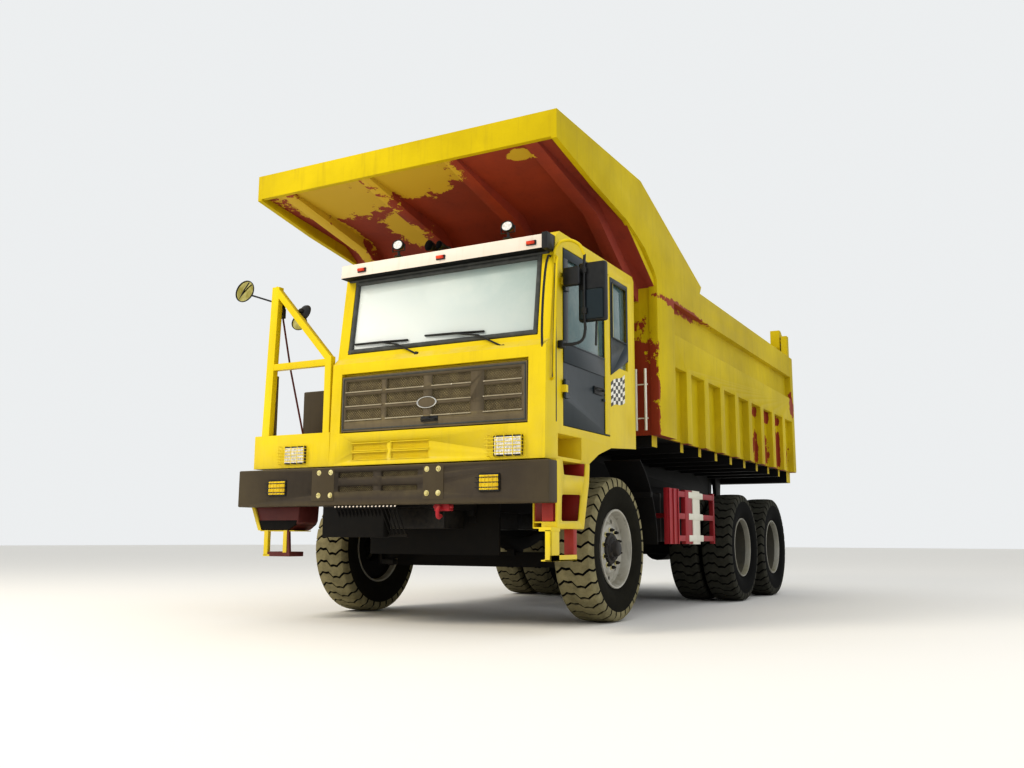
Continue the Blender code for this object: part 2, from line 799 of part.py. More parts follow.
def cab_inside():
    floor = CAB_FLOOR + FIT
    dash = block("dashboard", (-0.500, -4.070, floor), (1.460, -3.800, CAB_FLOOR + 0.600))
    bpy.ops.mesh.primitive_torus_add(
        major_segments=20, minor_segments=6, major_radius=0.220, minor_radius=0.016, location=(
            0.950, -3.640, CAB_FLOOR + 0.740
        )
    )
    wheel = bpy.context.object
    wheel.name = "steering_wheel_rim"
    wheel.rotation_euler.x = math.radians(-20)
    bpy.ops.object.transform_apply(location=False, rotation=True, scale=False)
    wheel.rotation_euler.x = 0
    join(
        dash,
        wheel,
        rod(
            "steering_column",
            (0.950, -3.850, CAB_FLOOR + 0.400),
            (0.950, -3.630, CAB_FLOOR + 0.760),
            0.030,
            8,
        ),
        block("wheel_spoke", (0.735, -3.655, CAB_FLOOR + 0.722), (1.165, -3.615, CAB_FLOOR + 0.752)),
    )
    finish(dash, PLASTIC)
    seat = block("driver_seat", (0.720, -3.200, floor), (1.180, -2.700, CAB_FLOOR + 0.420))
    join(seat, block("seat_back", (0.730, -2.800, CAB_FLOOR + 0.380), (1.170, -2.660, CAB_FLOOR + 1.050)))
    finish(seat, VINYL)


def sun_visor():
    front = CAB_FRONT + 0.060
    low = CAB_ROOF - 0.196
    outline = [
        (front, low),
        (front + 0.010, CAB_ROOF - 0.070),
        (front + 0.060, CAB_ROOF - 0.062),
        (CAB_FRONT + 0.199, CAB_ROOF - 0.062),
        (CAB_FRONT + 0.180 - FIT, CAB_ROOF - 0.190),
        (CAB_FRONT + 0.178, low),
    ]
    finish(slab("sun_visor", outline, CAB_RIGHT + 0.020, CAB_LEFT - 0.010), CREAM)


def platform():
    made = block(
        "platform", (DECK_RIGHT, CAB_FRONT, CAB_BOTTOM), (CAB_RIGHT - FIT, CAB_FRONT + 0.720, DECK_TOP)
    )
    deck_low = TYRE_TOP + 0.260
    frame_front = CAB_FRONT + 0.010
    top = DECK_TOP
    outer_top = Vector((-1.300, 0, RAIL_TOP + 1.745))
    knee = Vector((-0.640, 0, RAIL_TOP + 1.030))

    def post(name, foot_x, foot_z, head, wide):
        middle = (frame_front + FRAME_BACK) / 2
        deep = FRAME_BACK - frame_front
        start = Vector((foot_x, middle, foot_z))
        end = Vector((head.x, middle, head.z))
        bar = block(name, (-wide / 2, -deep / 2, -0.5), (wide / 2, deep / 2, 0.5))
        bar.scale.z = (end - start).length + wide * 0.6
        bpy.ops.object.transform_apply(location=False, rotation=False, scale=True)
        bar.location = (start + end) / 2
        bar.rotation_euler.y = math.atan2(end.x - start.x, end.z - start.z)
        return bar

    join(
        made,
        block(
            "deck",
            (DECK_RIGHT + 0.002, CAB_FRONT + 0.700, deck_low),
            (CAB_RIGHT - FIT, CAB_REAR, DECK_TOP - 0.002),
        ),
        post("outer_post", -1.350, top - 0.010, outer_top, 0.085),
        post("inner_post", -0.640, top - 0.010, knee, 0.070),
        post("top_stay", knee.x, knee.z, outer_top, 0.060),
        block(
            "cross_bar", (-1.340, frame_front + 0.002, knee.z - 0.060), (-0.630, FRAME_BACK - 0.002, knee.z)
        ),
    )
    finish(made, YELLOW)


def service_box():
    made = block("air_cleaner_box", (-1.440, -3.600, DECK_TOP + FIT), (-0.680, -2.900, RAIL_TOP + 0.860))
    finish(made, GREY)


def steps():
    front = BUMPER_FRONT + BUMPER_DEEP + FIT
    top = CAB_BOTTOM - FIT
    base = RAIL_TOP
    box = [
        (front, top),
        (front, base - 0.250),
        (front + 0.060, base - 0.500),
        (front + 0.520, base - 0.500),
        (front + 0.620, base - 0.100),
        (front + 0.640, top),
    ]
    made = slab("left_step", box, 1.300, 1.590)
    low = base - 0.745
    join(
        made,
        block("stirrup_front", (1.310, front + 0.040, low), (1.580, front + 0.080, base - 0.450)),
        block("stirrup_rear", (1.310, front + 0.340, low), (1.580, front + 0.380, base - 0.450)),
        block("stirrup_tread", (1.312, front + 0.042, low), (1.578, front + 0.378, low + 0.040)),
    )
    cut(
        made,
        block("upper_foot_hole", (1.380, front + 0.130, base - 0.110), (1.650, front + 0.520, base + 0.010)),
        block("lower_foot_hole", (1.380, front + 0.140, base - 0.430), (1.650, front + 0.430, base - 0.220)),
    )
    finish(made, YELLOW)
    front += 0.010
    made = block("right_step", (-1.440, front, base - 0.200), (-0.980, front + 0.340, top))
    join(
        made,
        block("pan", (-1.410, front + 0.010, base - 0.490), (-1.020, front + 0.330, base - 0.180)),
        block("right_stirrup", (-1.410, front + 0.060, low), (-1.370, front + 0.300, base - 0.450)),
        block("left_stirrup", (-1.090, front + 0.060, low), (-1.050, front + 0.300, base - 0.450)),
        block("tread", (-1.405, front + 0.062, low), (-1.055, front + 0.298, low + 0.040)),
    )
    finish(made, YELLOW)


def mirrors():
    wall = CAB_LEFT + FIT
    high = RAIL_TOP + 1.800
    low = RAIL_TOP + 1.130
    made = block("left_mirror", (1.711, -3.905, RAIL_TOP + 1.170), (1.940, -3.840, RAIL_TOP + 1.680))
    join(
        made,
        block("upper_pad", (wall, -4.010, high - 0.030), (wall + 0.020, -3.950, high + 0.030)),
        block("lower_pad", (wall, -4.010, low - 0.030), (wall + 0.020, -3.950, low + 0.030)),
        rod("upper_arm", (wall + 0.012, -3.980, high), (1.800, -3.900, high + 0.020), 0.016, 8),
        rod("upper_drop", (1.790, -3.8985, high + 0.030), (1.790, -3.880, RAIL_TOP + 1.650), 0.016, 8),
        rod("lower_arm", (wall + 0.012, -3.980, low), (1.760, -3.880, low), 0.016, 8),
        rod("lower_rise", (1.750, -3.880, low - 0.010), (1.750, -3.880, RAIL_TOP + 1.200), 0.016, 8),
        block("wide_mirror", (1.600, -4.020, RAIL_TOP + 1.480), (1.700, -3.960, RAIL_TOP + 1.640)),
        rod("wide_stay", (1.650, -3.965, RAIL_TOP + 1.600), (1.650, -3.957, high + 0.010), 0.014, 8),
    )
    finish(made, PLASTIC)
    rear = FRAME_BACK + FIT
    start = Vector((-1.730, -4.100, RAIL_TOP + 1.790))
    end = Vector((-1.000, -4.128, RAIL_TOP + 1.480))
    made = rod("right_mirrors", start, end, 0.014, 8)
    join(
        made,
        block("post_clamp", (-1.345, rear, RAIL_TOP + 1.560), (-1.260, rear + 0.050, RAIL_TOP + 1.660)),
        rod(
            "outer_mirror", (-1.800, -4.110, RAIL_TOP + 1.820), (-1.790, -4.070, RAIL_TOP + 1.825), 0.090, 20
        ),
        rod(
            "inner_mirror", (-0.960, -4.145, RAIL_TOP + 1.455), (-0.955, -4.105, RAIL_TOP + 1.458), 0.085, 20
        ),
    )
    finish(made, PLASTIC)


def tanks_and_guards():
    for side, word, tank_name in ((1, "left", "fuel_tank"), (-1, "right", "hydraulic_tank")):
        x = span(side, 0.640, 1.300)
        neck = span(side, RAIL_OUT + FIT, 0.660)
        tank = block(tank_name, (x[0], -1.200, 0.720), (x[1], 0.250, 1.220))
        join(
            tank,
            block("front_saddle", (neck[0], -1.050, RAIL_BOTTOM + 0.020), (neck[1], -0.950, 1.180)),
            block("rear_saddle", (neck[0], 0.000, RAIL_BOTTOM + 0.020), (neck[1], 0.100, 1.180)),
        )
        finish(tank, BLACK)
        face = span(side, 1.450, 1.500)
        bar = span(side, 1.452, 1.498)
        stay = span(side, 1.300 + FIT, 1.460)
        guard = block(word + "_side_guard", (face[0], -1.290, 0.690), (face[1], -0.980, 1.270))
        pieces = [
            block("second_upright", (face[0], -0.750, 0.690), (face[1], -0.520, 1.270)),
            block("white_upright", (face[0], -0.496, 0.686), (face[1], -0.250, 1.274)),
            block("end_upright", (face[0], 0.250, 0.690), (face[1], 0.300, 1.270)),
        ]
        pieces += [block("rail", (bar[0], -1.288, z - 0.030), (bar[1], 0.298, z + 0.030)) for z in (0.750, 0.985, 1.220)]
        pieces += [block("stay", (stay[0], y, 0.960), (stay[1], y + 0.060, 1.010)) for y in (-1.150, 0.100)]
        join(guard, *pieces)
        finish(guard, RED)


# Body
def side_wall(side):
    wall = span(side, BODY_HALF - BODY_WALL, BODY_HALF)
    rib = span(side, BODY_HALF - 0.010, BODY_HALF + RIB_DEEP)
    plate = span(side, BODY_HALF + RIB_DEEP - 0.050, BODY_HALF + RIB_DEEP)
    rail = span(side, BODY_HALF - BODY_WALL + 0.001, BODY_HALF + RIB_DEEP - 0.001)
    pieces = [block(
        "side_sheet", (wall[0], BODY_FRONT, FLOOR_LOW + 0.002), (wall[1], BODY_REAR, WALL_TOP - 0.002)
    )]
    pieces.append(
        block("top_rail", (rail[0], BODY_FRONT + 0.010, TOP_RAIL_LOW), (rail[1], BODY_REAR, WALL_TOP))
    )
    pieces.append(
        block(
            "front_post",
            (rib[0], BODY_FRONT - 0.010, FLOOR_LOW),
            (rib[1], BODY_FRONT + 0.500, WALL_TOP - 0.020),
        ),
    )
    pieces.append(
        block(
            "rear_post", (rib[0], BODY_REAR - 0.160, FLOOR_LOW), (rib[1], BODY_REAR - 0.001, WALL_TOP - 0.004)
        ),
    )
    pieces.append(
        block(
            "waist_plate",
            (rail[0], BODY_FRONT + 0.020, FLOOR_LOW + 0.760),
            (rail[1], BODY_REAR - 0.002, FLOOR_LOW + 1.110),
        )
    )
    for number in range(RIB_COUNT):
        y = RIB_FIRST + number * RIB_PITCH
        pieces.append(
            block(
                "rib",
                (rib[0], y - RIB_WIDE / 2, FLOOR_LOW - 0.010),
                (rib[1], y + RIB_WIDE / 2, FLOOR_LOW + 0.800),
            ),
        )
    rise = FLOOR_LOW - 1.760
    outline = [
        (CANOPY_FRONT, CANOPY_TOP),
        (-2.268, CANOPY_TOP + 0.011),
        (-0.388, WALL_TOP + 0.085),
        (-0.450, WALL_TOP - 0.010),
        (-0.450, TOP_RAIL_LOW + 0.100),
        (BODY_FRONT + 0.100, TOP_RAIL_LOW + 0.020),
        (-1.930, 3.420 + rise),
        (-2.190, 3.590 + rise),
        (-2.655, 3.736 + rise),
        (-3.370, 3.840 + rise),
        (-3.785, 3.920 + rise),
        (CANOPY_FRONT, 3.990 + rise),
    ]
    pieces.append(slab("canopy_side", outline, *plate))
    post = span(side, BODY_HALF - 0.048, BODY_HALF + 0.040)
    pieces.append(
        block(
            "gate_post",
            (post[0], GATE_AXIS_Y - 0.060, WALL_TOP - 0.050),
            (post[1], GATE_AXIS_Y + 0.058, GATE_AXIS_Z + 0.070),
        ),
    )
    gate_pin = span(side, 1.380, BODY_HALF - 0.020)
    pieces.append(
        rod(
            "gate_pin",
            (gate_pin[0], GATE_AXIS_Y, GATE_AXIS_Z),
            (gate_pin[1], GATE_AXIS_Y, GATE_AXIS_Z),
            GATE_PIN,
            24,
        ),
    )
    return pieces


def dump_body():
    half = BODY_HALF - 0.020
    low = FLOOR_LOW
    made = block("dump_body", (-half, BODY_FRONT + 0.010, low), (half, BODY_REAR, low + FLOOR_THICK))
    pieces = side_wall(1) + side_wall(-1)
    rise = FLOOR_LOW - 1.760
    pieces.append(
        block("front_wall", (-half, BODY_FRONT, low + 0.001), (half, BODY_FRONT + BODY_WALL, 3.330 + rise))
    )
    plate = [
        (BODY_FRONT, 3.270 + rise),
        (-2.850, 3.880 + rise),
        (CANOPY_FRONT + 0.020, 4.040 + rise),
        (CANOPY_FRONT + 0.020, 4.090 + rise),
        (-2.840, 3.930 + rise),
        (BODY_FRONT + BODY_WALL, 3.325 + rise),
    ]
    reach = BODY_HALF + RIB_DEEP - 0.030
    pieces.append(slab("canopy_plate", plate, -reach, reach))
    pieces.append(
        block(
            "canopy_lip",
            (-BODY_HALF - RIB_DEEP + 0.001, CANOPY_FRONT - 0.001, 4.005 + rise),
            (BODY_HALF + RIB_DEEP - 0.001, CANOPY_FRONT + 0.050, CANOPY_TOP - 0.001),
        )
    )
    rib = [
        (BODY_FRONT + 0.020, 3.300 + rise),
        (-2.845, 3.905 + rise),
        (CANOPY_FRONT + 0.030, 4.060 + rise),
        (CANOPY_FRONT + 0.030, 4.010 + rise),
        (-2.900, 3.760 + rise),
        (BODY_FRONT - 0.040, 3.130 + rise),
        (BODY_FRONT + 0.020, 3.130 + rise),
    ]
    for x in (-1.300, -0.380, 0.560, 1.360):
        pieces.append(slab("canopy_rib", rib, x - 0.065, x + 0.065))
    for number in range(RIB_COUNT):
        y = RIB_FIRST + number * RIB_PITCH
        pieces.append(block("cross_beam", (-half, y - 0.050, low - 0.100), (half, y + 0.050, low + 0.010)))
    pieces.append(
        block("front_beam", (-half, BODY_FRONT + 0.030, low - 0.110), (half, BODY_FRONT + 0.180, low + 0.010))
    )
    pieces.append(
        block("rear_beam", (-half, BODY_REAR - 0.230, low - 0.160), (half, BODY_REAR - 0.004, low + 0.010))
    )
    for side in (-1, 1):
        runner = span(side, RAIL_IN, RAIL_OUT)
        pieces.append(
            block(
                "runner",
                (runner[0], BODY_FRONT + 0.120, SUBFRAME_TOP + FIT),
                (runner[1], BODY_PIVOT_Y - 0.320, low + 0.012),
            )
        )
        for near in (RAIL_IN - 0.055, RAIL_OUT + 0.006):
            ear = span(side, near, near + 0.050)
            pieces.append(
                slab(
                    "pivot_ear",
                    [(BODY_PIVOT_Y + 0.160, low + 0.008), (BODY_PIVOT_Y - 0.160, low + 0.008)]
                    + arc(BODY_PIVOT_Y, BODY_PIVOT_Z, 0.095, 200, 340, 6),
                    ear[0],
                    ear[1],
                )
            )
        pin = span(side, RAIL_IN - 0.045, RAIL_OUT + 0.046)
        pieces.append(
            rod(
                "pivot_pin",
                (pin[0], BODY_PIVOT_Y, BODY_PIVOT_Z),
                (pin[1], BODY_PIVOT_Y, BODY_PIVOT_Z),
                PIVOT_RADIUS,
                16,
            ),
        )
        saddle = span(side, 0.290, 0.350)
        eye_gap = HOIST_PIN + FIT
        pieces.append(
            block(
                "hoist_saddle",
                (saddle[0], HOIST_EYE_Y - 0.100, HOIST_EYE_Z + eye_gap),
                (saddle[1], HOIST_EYE_Y + 0.015, low + 0.011),
            )
        )
        pieces.append(
            block(
                "hoist_stop",
                (saddle[0] + 0.001, HOIST_EYE_Y - 0.099, HOIST_EYE_Z - 0.040),
                (saddle[1] - 0.001, HOIST_EYE_Y - eye_gap, low + 0.009),
            )
        )
    join(made, *pieces)
    finish(made, YELLOW)
    return made


def tailgate():
    front = BODY_REAR + SWING
    made = block(
        "tailgate", (-BODY_HALF - 0.050, front, FLOOR_LOW), (BODY_HALF + 0.050, front + GATE_THICK, WALL_TOP)
    )
    pieces = []
    bores = []
    for side in (-1, 1):
        arm = span(side, 1.340, 1.480)
        outline = [
            (front + 0.020, WALL_TOP - 0.300),
            (front + GATE_THICK - 0.002, WALL_TOP - 0.300),
            (front + GATE_THICK - 0.002, GATE_AXIS_Z + 0.100),
            (GATE_AXIS_Y + 0.040, GATE_AXIS_Z + 0.170),
            (GATE_AXIS_Y - 0.055, GATE_AXIS_Z + 0.170),
            (GATE_AXIS_Y - 0.055, GATE_AXIS_Z - 0.100),
            (front + 0.020, WALL_TOP - 0.020),
        ]
        pieces.append(slab("gate_arm", outline, *arm))
        bores.append(
            rod(
                "gate_bore",
                (arm[0] - 0.1, GATE_AXIS_Y, GATE_AXIS_Z),
                (arm[1] + 0.1, GATE_AXIS_Y, GATE_AXIS_Z),
                GATE_PIN + PLAY,
                24,
            )
        )
    for number in range(4):
        x = -1.200 + number * 0.800
        pieces.append(
            block(
                "gate_rib",
                (x - 0.060, front + 0.050, FLOOR_LOW + 0.020),
                (x + 0.060, front + 0.095, WALL_TOP - 0.100),
            ),
        )
    join(made, *pieces)
    cut(made, *bores)
    finish(made, YELLOW)
    return made


# Hoist: both barrels turn on one cross shaft and both rods carry the other
def hoist():
    base = Vector((0, HOIST_BASE_Y, HOIST_BASE_Z))
    eye = Vector((0, HOIST_EYE_Y, HOIST_EYE_Z))
    along = (eye - base).normalized()
    length = (eye - base).length
    barrels = rod("hoist_barrels", (-0.410, base.y, base.z), (0.410, base.y, base.z), HOIST_PIN, 16)
    rods = rod("hoist_rods", (-0.360, eye.y, eye.z), (0.360, eye.y, eye.z), HOIST_PIN, 16)
    tubes = []
    bars = []
    profile = [(0, -0.070), (BARREL_RADIUS, -0.070), (BARREL_RADIUS, 1.060), (ROD_RADIUS + 0.002, 1.060)]
    profile += [(ROD_RADIUS + 0.002, 0.120), (0, 0.120)]
    for side in (-1, 1):
        foot = base + Vector((side * HOIST_X, 0, 0))
        tubes.append(turned("hoist_tube", profile[::-1], foot, along, 16))
        bars.append(rod("hoist_bar", foot + along * 0.160, foot + along * (length + 0.050), ROD_RADIUS, 16))
    join(barrels, *tubes)
    join(rods, *bars)
    finish(barrels, BLACK)
    finish(rods, STEEL)
    hang_on("hoist_base_axis", base, (barrels, rods))


bumper()
engine()
cab()
cab_glass()
left_door()
hatch()
cab_inside()
sun_visor()
platform()
service_box()
steps()
mirrors()
tanks_and_guards()
body = dump_body()
gate = tailgate()
hang_on("body_pivot_axis", (0, BODY_PIVOT_Y, BODY_PIVOT_Z), (body,))
hang_on("tailgate_axis", (0, GATE_AXIS_Y, GATE_AXIS_Z), (gate,))
hoist()
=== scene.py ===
import json
import math

import bpy
from mathutils import Matrix, Vector

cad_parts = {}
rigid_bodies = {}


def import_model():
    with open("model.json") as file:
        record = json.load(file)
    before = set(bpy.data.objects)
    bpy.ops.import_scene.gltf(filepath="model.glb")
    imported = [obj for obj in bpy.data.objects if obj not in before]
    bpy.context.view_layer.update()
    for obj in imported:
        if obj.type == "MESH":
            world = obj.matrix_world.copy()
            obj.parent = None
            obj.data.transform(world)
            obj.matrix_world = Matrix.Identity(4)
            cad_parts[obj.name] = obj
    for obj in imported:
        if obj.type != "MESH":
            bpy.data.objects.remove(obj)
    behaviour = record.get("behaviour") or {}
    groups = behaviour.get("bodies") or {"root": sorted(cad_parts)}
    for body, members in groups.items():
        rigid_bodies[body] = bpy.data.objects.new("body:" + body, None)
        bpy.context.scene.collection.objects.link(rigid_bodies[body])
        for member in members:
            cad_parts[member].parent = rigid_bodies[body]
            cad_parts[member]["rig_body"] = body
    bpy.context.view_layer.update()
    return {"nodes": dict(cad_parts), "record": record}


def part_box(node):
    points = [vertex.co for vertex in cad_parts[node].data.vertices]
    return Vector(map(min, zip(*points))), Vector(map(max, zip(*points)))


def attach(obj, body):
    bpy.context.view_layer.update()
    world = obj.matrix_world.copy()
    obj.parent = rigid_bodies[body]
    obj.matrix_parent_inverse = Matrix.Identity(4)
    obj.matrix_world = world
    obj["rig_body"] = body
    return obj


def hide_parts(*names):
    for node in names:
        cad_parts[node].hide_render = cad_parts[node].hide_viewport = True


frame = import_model()
nodes = frame["nodes"]
print("frame loaded")


# small tools
def hexColour(code):
    parts = [int(code[i : i + 2], 16) / 255 for i in (1, 3, 5)]
    linear = [p / 12.92 if p <= 0.04045 else ((p + 0.055) / 1.055) ** 2.4 for p in parts]
    return (*linear, 1)


def addNode(material, kind, settings=None, links=None):
    tree = material.node_tree
    node = tree.nodes.new(kind)
    for key, value in (settings or {}).items():
        if isinstance(key, str) and hasattr(node, key):
            setattr(node, key, value)
        else:
            node.inputs[key].default_value = value
    for key, source in (links or {}).items():
        tree.links.new(source, node.inputs[key])
    return node


def setStops(ramp, lowAt, highAt, lowShade, highShade):
    for stop, spot, shade in zip(ramp.color_ramp.elements, (lowAt, highAt), (lowShade, highShade)):
        stop.position = spot
        stop.color = hexColour(shade)


def startMaterial(name, **sockets):
    material = bpy.data.materials.new(name)
    material.use_nodes = True
    shader = material.node_tree.nodes["Principled BSDF"]
    for key, value in sockets.items():
        shader.inputs[key.replace("_", " ")].default_value = value
    place = addNode(material, "ShaderNodeTexCoord").outputs["Object"]
    return material, shader, place


def clearSelection():
    if bpy.context.mode != "OBJECT":
        bpy.ops.object.mode_set(mode="OBJECT")
    bpy.ops.object.select_all(action="DESELECT")


def pick(piece):
    clearSelection()
    piece.select_set(True)
    bpy.context.view_layer.objects.active = piece


def enterEdit(action="SELECT"):
    bpy.ops.object.mode_set(mode="EDIT")
    bpy.ops.mesh.select_all(action=action)


def leaveEdit():
    bpy.ops.object.mode_set(mode="OBJECT")


def editFaces(piece, test):
    # edit mode with only those faces selected that pass the test of (index, face)
    pick(piece)
    enterEdit("DESELECT")
    leaveEdit()
    for index, face in enumerate(piece.data.polygons):
        face.select = test(index, face)
    bpy.ops.object.mode_set(mode="EDIT")
    bpy.ops.mesh.select_mode(type="FACE")


def smoothBy(piece, degrees):
    pick(piece)
    bpy.ops.object.shade_smooth_by_angle(angle=math.radians(degrees))
    return piece


def settle(piece):
    pick(piece)
    bpy.ops.object.transform_apply(location=True, rotation=True, scale=True)
    return piece


def tidyMesh(piece, smoothAngle=35, merge=0.00005):
    pick(piece)
    enterEdit()
    bpy.ops.mesh.remove_doubles(threshold=merge)
    bpy.ops.mesh.normals_make_consistent(inside=False)
    leaveEdit()
    return smoothBy(piece, smoothAngle)


def applyModifier(piece, kind, **settings):
    pick(piece)
    modifier = piece.modifiers.new(kind.title(), kind)
    for key, value in settings.items():
        setattr(modifier, key, value)
    bpy.ops.object.modifier_apply(modifier=modifier.name)
    return piece


def roundEdges(piece, width, degrees):
    return applyModifier(
        piece, "BEVEL", width=width, segments=2, limit_method="ANGLE", angle_limit=math.radians(degrees)
    )


def makeBox(name, low, high, edge=0.004, segments=2):
    low, high = Vector(low), Vector(high)
    clearSelection()
    bpy.ops.mesh.primitive_cube_add(size=1, location=(low + high) / 2)
    piece = bpy.context.object
    piece.name = name
    piece.scale = [max(abs(v), 0.0005) for v in high - low]
    settle(piece)
    if edge:
        enterEdit()
        bpy.ops.mesh.bevel(offset=edge, segments=segments, affect="EDGES")
        leaveEdit()
        return smoothBy(piece, 35)


def makeRod(name, start, end, radius, sides=20, edge=0.0):
    start, end = Vector(start), Vector(end)
    clearSelection()
    bpy.ops.mesh.primitive_cylinder_add(vertices=sides, radius=radius, depth=(end - start).length)
    piece = bpy.context.object
    piece.name = name
    piece.location = (start + end) / 2
    piece.rotation_euler = (end - start).to_track_quat("Z", "Y").to_euler()
    settle(piece)
    if edge:
        roundEdges(piece, edge, 50)
    return smoothBy(piece, 40)


def makePlate(name, outline, axis, low, high, edge=0.003):
    # a flat outline drawn across an axis and pulled along it; the two other axes are taken in X, Y, Z order
    others = [i for i in range(3) if i != axis]
    clearSelection()
    bpy.ops.mesh.primitive_circle_add(vertices=len(outline), fill_type="NGON")
    piece = bpy.context.object
    piece.name = name
    for vertex, point in zip(piece.data.vertices, outline):
        vertex.co[axis] = low
        vertex.co[others[0]] = point[0]
        vertex.co[others[1]] = point[1]
    enterEdit()
    pull = [0, 0, 0]
    pull[axis] = high - low
    bpy.ops.mesh.extrude_region_move(TRANSFORM_OT_translate={"value": pull})
    bpy.ops.mesh.select_all(action="SELECT")
    bpy.ops.mesh.normals_make_consistent(inside=False)
    leaveEdit()
    if edge:
        roundEdges(piece, edge, 25)
    return smoothBy(piece, 30)


def makeTube(name, points, radius, smooth=True, resolution=3):
    curve = bpy.data.curves.new(name, "CURVE")
    curve.dimensions = "3D"
    curve.bevel_depth = radius
    curve.bevel_resolution = resolution
    curve.use_fill_caps = True
    spline = curve.splines.new("BEZIER" if smooth else "POLY")
    target = spline.bezier_points if smooth else spline.points
    target.add(len(points) - 1)
    for knot, point in zip(target, points):
        if smooth:
            knot.co = point
            knot.handle_left_type = knot.handle_right_type = "AUTO"
        else:
            knot.co = (*point, 1)
    curve.resolution_u = 8
    piece = bpy.data.objects.new(name, curve)
    bpy.context.scene.collection.objects.link(piece)
    pick(piece)
    bpy.ops.object.convert(target="MESH")
    return tidyMesh(bpy.context.object, 40)


def makeTurned(name, profile, centre, outward, steps=64, smoothAngle=30):
    # profile of (radius, distance along the axis), spun about the axis
    clearSelection()
    bpy.ops.mesh.primitive_circle_add(vertices=max(len(profile), 3), fill_type="NOTHING")
    piece = bpy.context.object
    piece.name = name
    for vertex, (radius, along) in zip(piece.data.vertices, profile):
        vertex.co = (radius, 0, along)
    enterEdit()
    bpy.ops.mesh.spin(steps=steps, angle=2 * math.pi, center=(0, 0, 0), axis=(0, 0, 1))
    bpy.ops.mesh.select_all(action="SELECT")
    bpy.ops.mesh.remove_doubles(threshold=0.0002)
    bpy.ops.mesh.normals_make_consistent(inside=False)
    leaveEdit()
    piece.location = centre
    piece.rotation_euler = Vector(outward).to_track_quat("Z", "Y").to_euler()
    settle(piece)
    return smoothBy(piece, smoothAngle)


def squeeze(piece, centre, factors):
    for vertex in piece.data.vertices:
        for k in range(3):
            vertex.co[k] = centre[k] + (vertex.co[k] - centre[k]) * factors[k]
    return piece


def cutBy(piece, cutters):
    for cutter in cutters:
        applyModifier(piece, "BOOLEAN", operation="DIFFERENCE", object=cutter, solver="EXACT")
        bpy.data.objects.remove(cutter, do_unlink=True)
    return piece


def copyMoved(piece, matrix, name=None):
    twin = piece.copy()
    twin.data = piece.data.copy()
    twin.data.transform(matrix)
    if matrix.determinant() < 0:
        twin.data.flip_normals()
    bpy.context.scene.collection.objects.link(twin)
    twin.name = name or piece.name
    return twin


def mergePieces(name, pieces):
    clearSelection()
    for piece in pieces:
        piece.select_set(True)
    bpy.context.view_layer.objects.active = pieces[0]
    bpy.ops.object.join()
    joined = bpy.context.object
    joined.name = name
    return joined


def paint(piece, *materials):
    piece.data.materials.clear()
    for material in materials:
        piece.data.materials.append(material)
    return piece


def place(piece, body, slot=None, stands=()):
    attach(piece, body)
    if stands:
        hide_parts(*stands)
    return piece


def fit(name, pieces, material, body, slot, stands=()):
    # made pieces joined as one named piece, painted and set on its body
    return place(paint(mergePieces(name, pieces), material), body, slot, stands)


def dressNode(nodeName, materials, edge=0.006, rule=None):
    # the CAD shape with its loose triangles merged and its edges rounded
    source = nodes[nodeName]
    piece = bpy.data.objects.new("look_" + nodeName, source.data.copy())
    bpy.context.scene.collection.objects.link(piece)
    pick(piece)
    enterEdit()
    bpy.ops.mesh.remove_doubles(threshold=0.00005)
    bpy.ops.mesh.dissolve_limited(angle_limit=math.radians(1.0))
    leaveEdit()
    if edge:
        roundEdges(piece, edge, 28)
    paint(piece, *materials)
    if rule:
        for face in piece.data.polygons:
            face.material_index = rule(face.center, face.normal)
    smoothBy(piece, 32)
    slotName = next(s["material_slot"] for s in frame["record"]["subparts"] if s["node"] == nodeName)
    return place(piece, source["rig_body"], slotName, (nodeName,))


